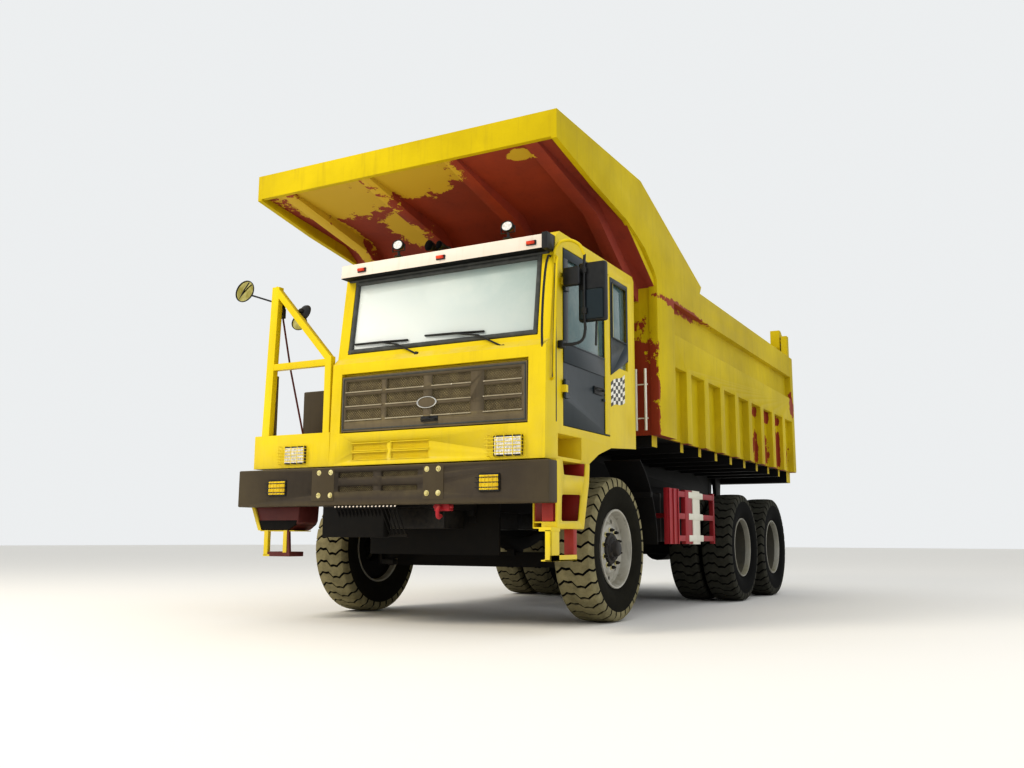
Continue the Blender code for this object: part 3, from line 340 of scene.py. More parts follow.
def agedPaint(name, look):
    # sprayed enamel on steel: broad fading, settled dust, chips down to primer, rain streaks, orange peel
    material, shader, at = startMaterial(
        name, Roughness=look["rough"], Coat_Weight=look.get("coat", 0.0), Coat_Roughness=0.25,
        Specular_IOR_Level=look.get("shine", 0.5)
    )
    link = material.node_tree.links.new
    fade = addNode(
        material, "ShaderNodeTexNoise", {"Scale": 0.9, "Detail": 6.0, "Roughness": 0.6}, {"Vector": at}
    )
    fadeRamp = addNode(material, "ShaderNodeValToRGB", {}, {"Fac": fade.outputs["Fac"]})
    setStops(fadeRamp, 0.35, 0.68, look["deep"], look["base"])
    streakMap = addNode(material, "ShaderNodeMapping", {"Scale": (9.0, 9.0, 0.7)}, {"Vector": at})
    streak = addNode(
        material, "ShaderNodeTexNoise", {"Scale": 2.2, "Detail": 5.0, "Roughness": 0.65},
        {"Vector": streakMap.outputs["Vector"]}
    )
    streakFac = addNode(
        material, "ShaderNodeMapRange", {1: 0.52, 2: 0.78, 3: 0.0, 4: look["streak"]},
        {0: streak.outputs["Fac"]}
    )
    mixStreak = addNode(
        material, "ShaderNodeMix", {"data_type": "RGBA"},
        {0: streakFac.outputs[0], 6: fadeRamp.outputs["Color"]}
    )
    mixStreak.inputs[7].default_value = hexColour(look["grime"])
    # dust lies on faces that look up and thins out with height
    normal = addNode(material, "ShaderNodeNewGeometry")
    split = addNode(material, "ShaderNodeSeparateXYZ", {}, {0: normal.outputs["Normal"]})
    high = addNode(material, "ShaderNodeSeparateXYZ", {}, {0: at})
    upward = addNode(material, "ShaderNodeMapRange", {1: 0.3, 2: 1.0, 3: 0.0, 4: 0.75}, {0: split.outputs["Z"]})
    lowDown = addNode(
        material, "ShaderNodeMapRange", {1: 0.4, 2: look["dustTop"], 3: look["dust"], 4: 0.0},
        {0: high.outputs["Z"]}
    )
    dustSum = addNode(
        material, "ShaderNodeMath", {"operation": "ADD"}, {0: upward.outputs[0], 1: lowDown.outputs[0]}
    )
    cloud = addNode(
        material, "ShaderNodeTexNoise", {"Scale": 5.0, "Detail": 8.0, "Roughness": 0.7}, {"Vector": at}
    )
    cloudFac = addNode(
        material, "ShaderNodeMapRange", {1: 0.38, 2: 0.66, 3: 0.15, 4: 1.0}, {0: cloud.outputs["Fac"]}
    )
    dustFac = addNode(
        material, "ShaderNodeMath", {"operation": "MULTIPLY", "use_clamp": True},
        {0: dustSum.outputs[0], 1: cloudFac.outputs[0]}
    )
    mixDust = addNode(
        material, "ShaderNodeMix", {"data_type": "RGBA"}, {0: dustFac.outputs[0], 6: mixStreak.outputs[2]}
    )
    mixDust.inputs[7].default_value = hexColour(look["dustColour"])
    # chips: small flakes, thicker where the patch field allows
    flake = addNode(
        material, "ShaderNodeTexNoise",
        {"Scale": look.get("chipScale", 30.0), "Detail": 6.0, "Roughness": 0.75}, {"Vector": at}
    )
    chipFac = addNode(
        material, "ShaderNodeMapRange", {1: look["chipAt"], 2: look["chipAt"] + 0.015, 3: 0.0, 4: 1.0},
        {0: flake.outputs["Fac"]}
    )
    edgeFac = addNode(
        material, "ShaderNodeMapRange", {1: 0.545, 2: 0.60, 3: 0.0, 4: look.get("edge", 0.5)},
        {0: normal.outputs["Pointiness"]}
    )
    wear = addNode(
        material, "ShaderNodeMath", {"operation": "MAXIMUM"}, {0: chipFac.outputs[0], 1: edgeFac.outputs[0]}
    )
    for centre, size, sharp in look.get("patch", ()):
        shift = addNode(
            material, "ShaderNodeMapping", {"vector_type": "TEXTURE", "Location": centre, "Scale": size},
            {"Vector": at}
        )
        ball = addNode(material, "ShaderNodeVectorMath", {"operation": "LENGTH"}, {0: shift.outputs["Vector"]})
        rag = addNode(
            material, "ShaderNodeTexNoise", {"Scale": 7.0, "Detail": 9.0, "Roughness": 0.72}, {"Vector": at}
        )
        raggedBall = addNode(
            material, "ShaderNodeMath", {"operation": "MULTIPLY_ADD", 1: 2.2},
            {0: rag.outputs["Fac"], 2: ball.outputs["Value"]}
        )
        inside = addNode(
            material, "ShaderNodeMapRange", {1: 2.05, 2: 2.05 + sharp, 3: 1.0, 4: 0.0},
            {0: raggedBall.outputs[0]}
        )
        wear = addNode(
            material, "ShaderNodeMath", {"operation": "MAXIMUM"}, {0: wear.outputs[0], 1: inside.outputs[0]}
        )
    mixWear = addNode(
        material, "ShaderNodeMix", {"data_type": "RGBA"}, {0: wear.outputs[0], 6: mixDust.outputs[2]}
    )
    mixWear.inputs[7].default_value = hexColour(look["under"])
    link(mixWear.outputs[2], shader.inputs["Base Color"])
    roughFac = addNode(
        material, "ShaderNodeMapRange", {1: 0.0, 2: 1.0, 3: look["rough"], 4: 0.9}, {0: dustFac.outputs[0]}
    )
    link(roughFac.outputs[0], shader.inputs["Roughness"])
    dent = addNode(material, "ShaderNodeTexNoise", {"Scale": 2.6, "Detail": 2.0}, {"Vector": at})
    # orange peel, drawn coarse at 6 mm
    peel = addNode(material, "ShaderNodeTexNoise", {"Scale": 160.0, "Detail": 2.0}, {"Vector": at})
    dentBump = addNode(
        material, "ShaderNodeBump", {"Strength": 0.35, "Distance": look.get("dent", 0.012)},
        {"Height": dent.outputs["Fac"]}
    )
    peelBump = addNode(
        material, "ShaderNodeBump", {"Strength": 0.12, "Distance": 0.0012},
        {"Height": peel.outputs["Fac"], "Normal": dentBump.outputs["Normal"]}
    )
    chipDrop = addNode(
        material, "ShaderNodeBump", {"Strength": 0.3, "Distance": 0.001, "invert": True},
        {"Height": wear.outputs[0], "Normal": peelBump.outputs["Normal"]}
    )
    link(chipDrop.outputs["Normal"], shader.inputs["Normal"])
    return material


yellowLook = {
    "base": "#E0C70A", "deep": "#D3B908", "grime": "#9C8420", "dustColour": "#C9B77A", "under": "#8A4A22",
    "rough": 0.45, "coat": 0.12, "shine": 0.3, "streak": 0.22, "dust": 0.35, "dustTop": 2.2, "chipAt": 0.80,
    "edge": 0.0,
}
bodyLook = dict(
    yellowLook, coat=0.0, rough=0.6, shine=0.2, base="#CFB80A", deep="#B6A009", under="#8E3A22", chipAt=0.76,
    dent=0.03, streak=0.35
)
bodyLook["patch"] = [
    # red primer colour laid in the recesses between the rear ribs, under the top rail and at the end of the
    # front wall, where shade falls: part primer showing, part painted shade
    ((1.555, 3.30, 2.02), (0.030, 0.62, 0.30), 0.03),
    ((1.555, 2.35, 1.95), (0.030, 0.42, 0.26), 0.03),
    ((1.555, 2.75, 2.45), (0.030, 1.10, 0.10), 0.03),
    ((1.600, -0.95, 3.19), (0.060, 0.95, 0.055), 0.03),
    ((1.620, 3.95, 2.75), (0.060, 0.14, 0.20), 0.03),
    ((1.300, -1.86, 2.15), (0.420, 0.060, 0.75), 0.03),
    ((-1.555, 3.2, 2.0), (0.030, 0.46, 0.24), 0.03),
]
primerLook = {
    "base": "#9E3F26", "deep": "#7C2E22", "grime": "#4E1F1B", "dustColour": "#8F5A3C", "under": "#C9A92C",
    "rough": 0.75, "streak": 0.30, "dust": 0.10, "dustTop": 2.2, "chipAt": 0.90, "edge": 0.0, "dent": 0.02,
    "patch": [
        ((0.02, -3.95, 4.02), (0.52, 0.40, 0.35), 0.02),
        ((-0.95, -3.80, 4.00), (0.60, 0.42, 0.35), 0.02),
        ((-0.62, -3.05, 3.88), (0.26, 0.34, 0.30), 0.02),
        ((-1.30, -3.35, 3.90), (0.10, 0.70, 0.60), 0.02),
        ((1.18, -3.92, 4.00), (0.13, 0.10, 0.10), 0.03),
    ],
}
blackLook = {
    "base": "#131211", "deep": "#0C0B0A", "grime": "#060606", "dustColour": "#3A342A", "under": "#241D18",
    "rough": 0.62, "shine": 0.18, "streak": 0.3, "dust": 0.25, "dustTop": 1.3, "chipAt": 0.84, "edge": 0.12,
}
bumperLook = dict(
    blackLook, shine=0.3, base="#40382F", deep="#342D26", grime="#241F1A", dustColour="#6E6348",
    under="#A08C4A", rough=0.55, dust=0.3, dustTop=1.6, chipAt=0.86
)
panelLook = dict(bumperLook, base="#6B604B", deep="#5A503F", dustColour="#9A8C62", dust=0.2)
creamLook = dict(
    yellowLook, base="#E9DFD2", deep="#D8CBBB", grime="#A2917C", dustColour="#CFC3AE", under="#A08F80",
    coat=0.1, streak=0.2, dust=0.1
)
doorLook = dict(
    yellowLook, base="#1E2B31", deep="#182328", grime="#12181B", dustColour="#6E6F62", under="#171C1F",
    rough=0.32, dust=0.15
)
redLook = dict(
    yellowLook, base="#A51F2C", deep="#86141F", grime="#4F1013", dustColour="#9A6A55", under="#55201A",
    rough=0.5, dust=0.25, dustTop=1.4
)
whiteLook = dict(creamLook, base="#E6E4D8", deep="#CFCBB8")
yellowPaint = agedPaint("yellow_enamel_sprayed", yellowLook)
bodyPaint = agedPaint("yellow_enamel_over_primer", bodyLook)
primer = agedPaint("red_oxide_primer_sprayed", primerLook)
blackPaint = agedPaint("black_chassis_enamel", blackLook)
bumperPaint = agedPaint("dark_brown_bumper_enamel", bumperLook)
panelPaint = agedPaint("brown_grey_grille_enamel", panelLook)
# pale ledges with chips to near-white: painted highlight along the grille ledges
ledgeHighlightPaint = agedPaint(
    "grille_ledge_painted_highlight", dict(panelLook, base="#A59C86", deep="#857B66", under="#D8D2C0", chipAt=0.62)
)
creamPaint = agedPaint("cream_visor_enamel", creamLook)
doorPaint = agedPaint("blue_grey_door_enamel", doorLook)
redPaint = agedPaint("red_enamel", redLook)
whitePaint = agedPaint("white_enamel", whiteLook)
print("paints mixed")


def plainMaterial(name, look):
    # a moulded, cast or bare surface: slight mottling, fine grain bump and uneven gloss
    material, shader, at = startMaterial(
        name,
        Metallic=look.get("metal", 0.0),
        Transmission_Weight=look.get("clear", 0.0),
        Roughness=look["rough"],
    )
    link = material.node_tree.links.new
    mottle = addNode(
        material, "ShaderNodeTexNoise", {"Scale": look.get("scale", 14.0), "Detail": 6.0, "Roughness": 0.6},
        {"Vector": at}
    )
    ramp = addNode(material, "ShaderNodeValToRGB", {}, {"Fac": mottle.outputs["Fac"]})
    setStops(ramp, 0.36, 0.66, look["dark"], look["light"])
    link(ramp.outputs["Color"], shader.inputs["Base Color"])
    gloss = addNode(
        material, "ShaderNodeMapRange",
        {1: 0.3, 2: 0.7, 3: look["rough"] * 0.8, 4: min(1.0, look["rough"] * 1.25)}, {0: mottle.outputs["Fac"]}
    )
    link(gloss.outputs[0], shader.inputs["Roughness"])
    grain = addNode(
        material, "ShaderNodeTexNoise", {"Scale": look.get("grain", 220.0), "Detail": 3.0}, {"Vector": at}
    )
    bump = addNode(
        material, "ShaderNodeBump", {"Strength": look.get("bump", 0.2), "Distance": 0.001},
        {"Height": grain.outputs["Fac"]}
    )
    link(bump.outputs["Normal"], shader.inputs["Normal"])
    return material


rubberSeal = plainMaterial("epdm_rubber_extruded", {"dark": "#3B3D3B", "light": "#515350", "rough": 0.65})
blackPlastic = plainMaterial("black_abs_moulded", {"dark": "#121212", "light": "#222221", "rough": 0.45})
mattePlastic = plainMaterial(
    "black_polypropylene_moulded", {"dark": "#1A1A19", "light": "#2C2B29", "rough": 0.7}
)
clearLens = plainMaterial(
    "clear_polycarbonate_lens",
    {"dark": "#CFCBBF", "light": "#FFFFFF", "rough": 0.15, "metal": 0.35, "bump": 0.05, "scale": 45.0}
)
amberLens = plainMaterial(
    "amber_lens_moulded", {"dark": "#D9B400", "light": "#F2D21C", "rough": 0.2, "clear": 0.2, "bump": 0.05}
)
redLens = plainMaterial("red_lens_moulded", {"dark": "#A8200E", "light": "#E0491C", "rough": 0.2, "bump": 0.05})
chrome = plainMaterial(
    "bright_steel_polished", {"dark": "#B9B7B0", "light": "#D6D4CE", "rough": 0.18, "metal": 1.0, "bump": 0.03}
)
zincBolt = plainMaterial(
    "zinc_plated_bolt", {"dark": "#C9BC78", "light": "#F0E7B4", "rough": 0.4, "metal": 0.3}
)
castSteel = plainMaterial(
    "cast_steel_oiled", {"dark": "#1C1A18", "light": "#353029", "rough": 0.5, "metal": 0.3, "scale": 25.0}
)
vinyl = plainMaterial(
    "seat_vinyl_grained", {"dark": "#1E1E1F", "light": "#2D2D2E", "rough": 0.55, "grain": 120.0, "bump": 0.4}
)
meshSteel = plainMaterial("expanded_steel_mesh", {"dark": "#6B6042", "light": "#A89A6E", "rough": 0.6})


def glazing(name, reflectionShades, clear):
    # toughened pane with a film of dust, over a painted reflection: a fixed gradient by height and across the
    # pane, between two given shades, stands in for the mirrored sky
    material, shader, at = startMaterial(
        name, Roughness=0.06, Transmission_Weight=clear, Specular_IOR_Level=0.9
    )
    link = material.node_tree.links.new
    # painted sky reflection: gradient by height and across the pane
    high = addNode(material, "ShaderNodeSeparateXYZ", {}, {0: at})
    lean = addNode(
        material, "ShaderNodeMath", {"operation": "MULTIPLY_ADD", 1: 0.55},
        {0: high.outputs["X"], 2: high.outputs["Z"]}
    )
    band = addNode(material, "ShaderNodeMapRange", {1: 2.4, 2: 3.6, 3: 0.0, 4: 1.0}, {0: lean.outputs[0]})
    ramp = addNode(material, "ShaderNodeValToRGB", {}, {"Fac": band.outputs[0]})
    setStops(ramp, 0.0, 1.0, *reflectionShades)
    film = addNode(
        material, "ShaderNodeTexNoise", {"Scale": 3.0, "Detail": 8.0, "Roughness": 0.7}, {"Vector": at}
    )
    filmFac = addNode(
        material, "ShaderNodeMapRange", {1: 0.4, 2: 0.75, 3: 0.0, 4: 0.25}, {0: film.outputs["Fac"]}
    )
    mix = addNode(
        material, "ShaderNodeMix", {"data_type": "RGBA"}, {0: filmFac.outputs[0], 6: ramp.outputs["Color"]}
    )
    mix.inputs[7].default_value = hexColour("#E2E2D6")
    link(mix.outputs[2], shader.inputs["Base Color"])
    rough = addNode(
        material, "ShaderNodeMapRange", {1: 0.3, 2: 0.8, 3: 0.03, 4: 0.16}, {0: film.outputs["Fac"]}
    )
    link(rough.outputs[0], shader.inputs["Roughness"])
    return material


# each pair of shades is the painted sky reflection on that glass
screenGlass = glazing("laminated_screen_glass", ("#EEF3F0", "#A9BBB6"), 0.15)
sideGlass = glazing("toughened_side_glass", ("#4E6A6C", "#6E8E8E"), 0.45)
print("other materials mixed")


def tyreMaterial(name, dustAndLightColour):
    # moulded tyre rubber: tan dust on the tread faces, darker in the grooves and on the wall, where the base is
    # darker than rubber's own black as painted shade
    material, shader, at = startMaterial(name, Roughness=0.88, Specular_IOR_Level=0.12)
    link = material.node_tree.links.new
    tone = addNode(material, "ShaderNodeAttribute", {"attribute_name": "dustiness"})
    cloud = addNode(
        material, "ShaderNodeTexNoise", {"Scale": 9.0, "Detail": 8.0, "Roughness": 0.7}, {"Vector": at}
    )
    cloudFac = addNode(
        material, "ShaderNodeMapRange", {1: 0.3, 2: 0.7, 3: 0.55, 4: 1.1}, {0: cloud.outputs["Fac"]}
    )
    dust = addNode(
        material, "ShaderNodeMath", {"operation": "MULTIPLY", "use_clamp": True},
        {0: tone.outputs["Fac"], 1: cloudFac.outputs[0]}
    )
    mix = addNode(material, "ShaderNodeMix", {"data_type": "RGBA"}, {0: dust.outputs[0]})
    # near-black base pushed darker than the rubber's own black: painted shade
    mix.inputs[6].default_value = hexColour("#060606")
    mix.inputs[7].default_value = hexColour(dustAndLightColour)
    link(mix.outputs[2], shader.inputs["Base Color"])
    grain = addNode(material, "ShaderNodeTexNoise", {"Scale": 90.0, "Detail": 4.0}, {"Vector": at})
    bump = addNode(
        material, "ShaderNodeBump", {"Strength": 0.35, "Distance": 0.002}, {"Height": grain.outputs["Fac"]}
    )
    link(bump.outputs["Normal"], shader.inputs["Normal"])
    return material


# front tyres: tan dust, partly painted light on their lit fronts; left rear tyres: dark dust, partly painted
# shade; right rear tyres: a lighter dust shade than the left
frontDustLitRubber = tyreMaterial("tyre_rubber_dust_and_painted_light", "#8F8767")
shadedRearRubber = tyreMaterial("tyre_rubber_dust_and_painted_shade", "#403F37")
rightRearRubber = tyreMaterial("tyre_rubber_worn", "#756F56")


# camera, light and floor; the camera stands low, in front of the truck and to its left
view = {"at": (4.927, -10.895, 0.724), "yaw": 0.5028, "pitch": 0.1602, "roll": 0.0048, "lens": 33.925}
yaw, pitch, roll = view["yaw"], view["pitch"], view["roll"]
forward = Vector((-math.sin(yaw) * math.cos(pitch), math.cos(yaw) * math.cos(pitch), math.sin(pitch)))
level = forward.cross(Vector((0, 0, 1))).normalized()
upright = level.cross(forward)
right = level * math.cos(roll) + upright * math.sin(roll)
upward = upright * math.cos(roll) - level * math.sin(roll)
camera = bpy.data.objects.new("camera", bpy.data.cameras.new("camera"))
bpy.context.scene.collection.objects.link(camera)
camera.matrix_world = Matrix.Translation(view["at"]) @ Matrix((right, upward, -forward)).transposed().to_4x4()
camera.data.lens = view["lens"]
camera.data.sensor_width = 36
camera.data.clip_start, camera.data.clip_end = 0.05, 200
bpy.context.scene.camera = camera

lamps = [
    # name, place, size, watts, colour
    ("keyLight", (-5.5, -14.0, 11.0), 6.0, 1350, "#FFF6E6"),
    ("fillLight", (11.0, -4.0, 5.5), 8.0, 150, "#EAF1FF"),
    ("skyLight", (0.0, 0.0, 13.0), 12.0, 280, "#EEF3FF"),
]
for name, spot, size, watts, colour in lamps:
    data = bpy.data.lights.new(name, "AREA")
    data.shape, data.size, data.energy, data.color = "DISK", size, watts, hexColour(colour)[:3]
    lamp = bpy.data.objects.new(name, data)
    lamp.location = spot
    lamp.rotation_euler = (Vector((0.2, -1.5, 1.8)) - Vector(spot)).to_track_quat("-Z", "Y").to_euler()
    lamp.visible_glossy = name != "keyLight"  # its disc would glare in the windscreen
    bpy.context.scene.collection.objects.link(lamp)
world = bpy.data.worlds.new("paleStudio")
world.use_nodes = True
world.node_tree.nodes["Background"].inputs["Color"].default_value = hexColour("#EDEFF0")
world.node_tree.nodes["Background"].inputs["Strength"].default_value = 0.84
bpy.context.scene.world = world
floorMaterial, floorShader, _ = startMaterial("pale_studio_floor", Roughness=0.9)
floorShader.inputs["Base Color"].default_value = hexColour("#E6E3DD")
clearSelection()
bpy.ops.mesh.primitive_plane_add(size=160, location=(0, 30, -0.002))
floor = settle(bpy.context.object)
floor.name = "studioFloor"
paint(floor, floorMaterial)
bpy.context.scene.view_settings.view_transform = "Standard"
bpy.context.scene.view_settings.look = "Medium High Contrast"
print("camera, lights and floor set")


# plain structure: the CAD shapes with rounded edges
def canopyRule(centre, normal):
    # 0 yellow, 1 primer: the underside of the canopy, and its ribs between the side plates
    under = centre.y < -1.80 and abs(centre.x) < 1.56 and centre.z > 3.3 and normal.z < 0.35
    fascia = centre.y < -4.13
    stub = centre.z < 1.78 and (normal.z < -0.5 or abs(normal.y) > 0.5)
    if centre.z < 1.76 and abs(centre.x) < 1.40:
        return 2  # bed beams and floor from below: black paint as painted shade under the bed
    return 1 if (under and not fascia) or stub else 0


plain = [
    # node, materials, edge radius, face rule
    ("dump_body", (bodyPaint, primer, blackPaint), 0.010, canopyRule),
    ("tailgate", (bodyPaint,), 0.010, None),
    (
        "cab_shell", (yellowPaint, blackPaint), 0.012,
        # black on the low cab faces behind its front that look down or don't face sideways: painted shade under
        # the cab
        lambda c, n: 1 if c.z < 1.75 and c.y > -3.40 and (n.z < -0.3 or (abs(n.x) < 0.6 and c.z < 1.6)) else 0
    ),
    ("platform", (yellowPaint,), 0.006, None),
    ("air_cleaner_box", (bumperPaint,), 0.012, None),
    ("chassis_frame", (blackPaint,), 0.006, None),
    ("front_axle_beam", (blackPaint,), 0.010, None),
    ("left_steering_knuckle", (castSteel,), 0.006, None),
    ("right_steering_knuckle", (castSteel,), 0.006, None),
    ("middle_axle", (blackPaint,), 0.010, None),
    ("rear_axle", (blackPaint,), 0.010, None),
    ("bogie_suspension", (castSteel,), 0.004, None),
    ("engine_block", (castSteel,), 0.008, None),
    ("front_bumper", (bumperPaint,), 0.010, None),
    ("fuel_tank", (blackPaint,), 0.020, None),
    ("hydraulic_tank", (blackPaint,), 0.020, None),
    ("hoist_barrels", (blackPaint,), 0.006, None),
    ("hoist_rods", (chrome,), 0.004, None),
    ("front_hatch", (panelPaint,), 0.010, None),
    ("left_door", (doorPaint, yellowPaint), 0.008, None),
    # black on the visor's downward faces: painted shade under the visor
    ("sun_visor", (creamPaint, blackPaint), 0.010, lambda c, n: 1 if n.z < -0.3 else 0),
    ("dashboard", (mattePlastic,), 0.008, None),
    ("left_side_guard", (yellowPaint, redPaint, whitePaint), 0.006, None),
    ("right_side_guard", (yellowPaint, redPaint, whitePaint), 0.006, None),
]
for nodeName, materials, edge, rule in plain:
    dressNode(nodeName, materials, edge, rule)
for nodeName, material in (
    ("windscreen", screenGlass), ("quarter_window", sideGlass), ("right_side_window", sideGlass),
    ("left_door_window", sideGlass)
):
    dressNode(nodeName, (material,), 0.002)
print("structure dressed")


tyreLook = {"radius": 0.650, "half": 0.18, "pitches": 34, "groove": 0.016, "wave": 0.030, "ripple": 0.012}
treadHalf = [
    # along the axle, radius: from the middle of the crown to the shoulder
    (0.020, 0.650), (0.058, 0.6494), (0.095, 0.648), (0.130, 0.6455),
    (0.158, 0.639), (0.173, 0.622), (0.180, 0.600), (0.181, 0.575),
]
treadSection = [(-along, radius) for along, radius in reversed(treadHalf)] + treadHalf
wallHalf = [
    # radius, along the axle: from under the shoulder, over the rim guard ribs, down to the bead
    (0.575 - 0.016, 0.1808), (0.540, 0.1800), (0.515, 0.1822), (0.508, 0.1815), (0.470, 0.1790),
    (0.430, 0.1720),
    (0.400, 0.1600), (0.385, 0.1560), (0.375, 0.1500), (0.357, 0.1440), (0.357, 0.1000),
]


def treadPoint(column, turn, lift):
    along, radius = treadSection[column]
    share = along / tyreLook["half"]
    swing = tyreLook["wave"] * math.sin(share * 1.35 * math.pi) * max(0.0, 1 - abs(share) ** 4)
    swing += tyreLook["ripple"] * math.sin(share * 4.2 * math.pi)
    angle = 2 * math.pi / tyreLook["pitches"] * turn + swing / tyreLook["radius"]
    reach = radius - tyreLook["groove"] + lift
    return Vector((math.cos(angle) * reach, math.sin(angle) * reach, along))


def makeTread():
    # one pitch of the tread: a grid laid over the crown, its block pulled out of it, then turned round the tyre
    clearSelection()
    columns = len(treadSection)
    rows = [0.0, 0.10, 0.50, 0.90, 1.0]
    bpy.ops.mesh.primitive_grid_add(x_subdivisions=columns - 1, y_subdivisions=len(rows) - 1, size=2)
    pitch = bpy.context.object
    for index, vertex in enumerate(pitch.data.vertices):
        row, column = divmod(index, columns)
        vertex.co = treadPoint(column, rows[row], 0)
    editFaces(pitch, lambda index, face: index // (columns - 1) in (1, 2))
    bpy.ops.mesh.extrude_region_shrink_fatten(TRANSFORM_OT_shrink_fatten={"value": 0.0})
    leaveEdit()
    top = {v for face in pitch.data.polygons if face.select for v in face.vertices}
    for index in top:
        vertex = pitch.data.vertices[index]
        reach = math.hypot(vertex.co.x, vertex.co.y)
        edge = abs(vertex.co.z) > 0.1805
        lift = 0.0035 if edge else tyreLook["groove"]
        vertex.co.x *= (reach + lift) / reach
        vertex.co.y *= (reach + lift) / reach
    dusty = pitch.data.attributes.new("dustiness", "FLOAT", "POINT")
    for index, entry in enumerate(dusty.data):
        entry.value = 1.0 if index in top else 0.0
    turns = [
        copyMoved(pitch, Matrix.Rotation(2 * math.pi / tyreLook["pitches"] * k, 4, "Z"))
        for k in range(1, tyreLook["pitches"])
    ]
    return mergePieces("tread", [pitch, *turns])


def makeTyre():
    tread = makeTread()
    wall = wallHalf + [(radius, -along) for radius, along in reversed(wallHalf)]
    carcass = makeTurned("carcass", wall, (0, 0, 0), (0, 0, 1), steps=102)
    dusty = carcass.data.attributes.new("dustiness", "FLOAT", "POINT")
    for entry in dusty.data:
        entry.value = 0.05
    return tidyMesh(mergePieces("tyre", [tread, carcass]), 28, 0.0004)


def rimPaint(name, look):
    # silver wheel lacquer: even sheen under brown brake dust; the darker dish paint toward the hub is painted
    # shade with thicker dust
    return agedPaint(name, dict(whiteLook, **look))


frontRimPaint = rimPaint(
    "silver_wheel_lacquer",
    {
        "base": "#BDBAB0", "deep": "#9C988B", "grime": "#4E4A40", "dustColour": "#8A8472", "under": "#4A453B",
        "rough": 0.38, "streak": 0.6, "dust": 0.3, "dustTop": 1.2, "chipAt": 0.78
    }
)
lipPaint = rimPaint(
    "grey_wheel_lacquer_lip",
    {
        "base": "#A9A79E", "deep": "#8C897E", "grime": "#57523F", "dustColour": "#7F795F", "under": "#4A463D",
        "rough": 0.4, "streak": 0.5, "dust": 0.3, "dustTop": 1.2, "chipAt": 0.80
    }
)
# dark dish paint: painted shade in the recess inside the lip, with heavier dust
rimDishShadePaint = rimPaint(
    "grey_wheel_dish_painted_shade",
    {
        "base": "#55534C", "deep": "#3E3C36", "grime": "#262420", "dustColour": "#5A5546", "under": "#2B2925",
        "rough": 0.5, "streak": 0.6, "dust": 0.6, "dustTop": 1.2, "chipAt": 0.78
    }
)


def ringOf(maker, count, radius, start=0.0):
    # what the maker gives for each place (x, y) of an even ring
    made = []
    for k in range(count):
        turn = start + 2 * math.pi * k / count
        made.append(maker((math.cos(turn) * radius, math.sin(turn) * radius)))
    return made


def shadeRim(rim, isDark):
    # second paint where the rule says so, by distance from the axle and place along it
    for face in rim.data.polygons:
        face.material_index = 1 if isDark(math.hypot(face.center.x, face.center.y), face.center.z) else 0
    return rim


handHoles = {"count": 10, "circle": 0.268, "start": 0.2, "radius": 0.0225}


def makeLip(spot):
    # rolled edge of a hand hole
    clearSelection()
    bpy.ops.mesh.primitive_torus_add(
        major_radius=0.0235, minor_radius=0.0028, major_segments=20, minor_segments=6, location=(*spot, 0.0525)
    )
    return settle(bpy.context.object)


def makeFrontRim():
    shell = [
        (0.3565, 0.146), (0.3570, 0.157), (0.350, 0.163), (0.340, 0.160), (0.333, 0.148), (0.328, 0.105),
        (0.322, 0.070), (0.306, 0.052), (0.276, 0.050), (0.240, 0.062),
        (0.222, 0.086), (0.206, 0.094), (0.120, 0.094), (0.120, 0.072), (0.200, 0.070), (0.232, 0.040),
        (0.280, 0.026), (0.310, 0.030), (0.3250, 0.045), (0.3285, -0.100),
        (0.340, -0.150), (0.3565, -0.155), (0.3565, -0.1), (0.3565, 0.1), (0.3565, 0.146),
    ]
    rim = makeTurned("rim", shell, (0, 0, 0), (0, 0, 1), steps=72)
    ring = (handHoles["count"], handHoles["circle"], handHoles["start"])
    holes = ringOf(lambda p: makeRod("hole", (*p, -0.02), (*p, 0.12), handHoles["radius"], 20), *ring)
    cutBy(rim, [mergePieces("holes", holes)])
    lips = ringOf(makeLip, *ring)
    drum = makeTurned(
        "drum",
        [(0.150, 0.030), (0.305, 0.012), (0.318, 0.004), (0.318, -0.060), (0.150, -0.060), (0.150, 0.030)],
        (0, 0, 0), (0, 0, 1), steps=48
    )
    rim = paint(tidyMesh(mergePieces("rim", [rim, *lips, drum]), 32), frontRimPaint, blackPaint)
    # black on the faces behind the disc inside the wheel, seen through the hand holes: painted shade
    return shadeRim(rim, lambda reach, along: reach < 0.330 and along < 0.032)


def makeNuts(count, circle, height, tall=0.034):
    def ring(name, top, radius, sides, edge):
        maker = lambda p: makeRod(name, (*p, height), (*p, height + top), radius, sides, edge)
        return ringOf(maker, count, circle, 0.1)

    nuts = ring("nut", tall, 0.0165, 6, 0.002)
    studs = ring("stud", tall + 0.014, 0.0095, 10, 0.0015)
    washers = ring("washer", 0.008, 0.0225, 18, 0.001)
    return paint(mergePieces("nuts", nuts + studs), castSteel), paint(mergePieces("washers", washers), zincBolt)


def makeHub(height, tall):
    # cast hub flange, then a stepped oil cap with its ring of small screws
    profile = [
        (0.0, height + tall), (0.052, height + tall), (0.064, height + tall - 0.006),
        (0.070, height + tall - 0.022), (0.076, height + tall * 0.55), (0.098, height + tall * 0.5),
        (0.104, height + tall * 0.42), (0.110, height + 0.022), (0.136, height + 0.014), (0.142, height),
        (0.142, height - 0.03), (0.0, height - 0.03),
    ]
    hub = makeTurned("hub", profile, (0, 0, 0), (0, 0, 1), steps=48)
    screws = ringOf(
        lambda p: makeRod(
            "screw", (*p, height + tall * 0.45), (*p, height + tall * 0.5 + 0.008), 0.0065, 6, 0.001
        ),
        8, 0.088
    )
    return paint(mergePieces("hub", [hub, *screws]), castSteel)


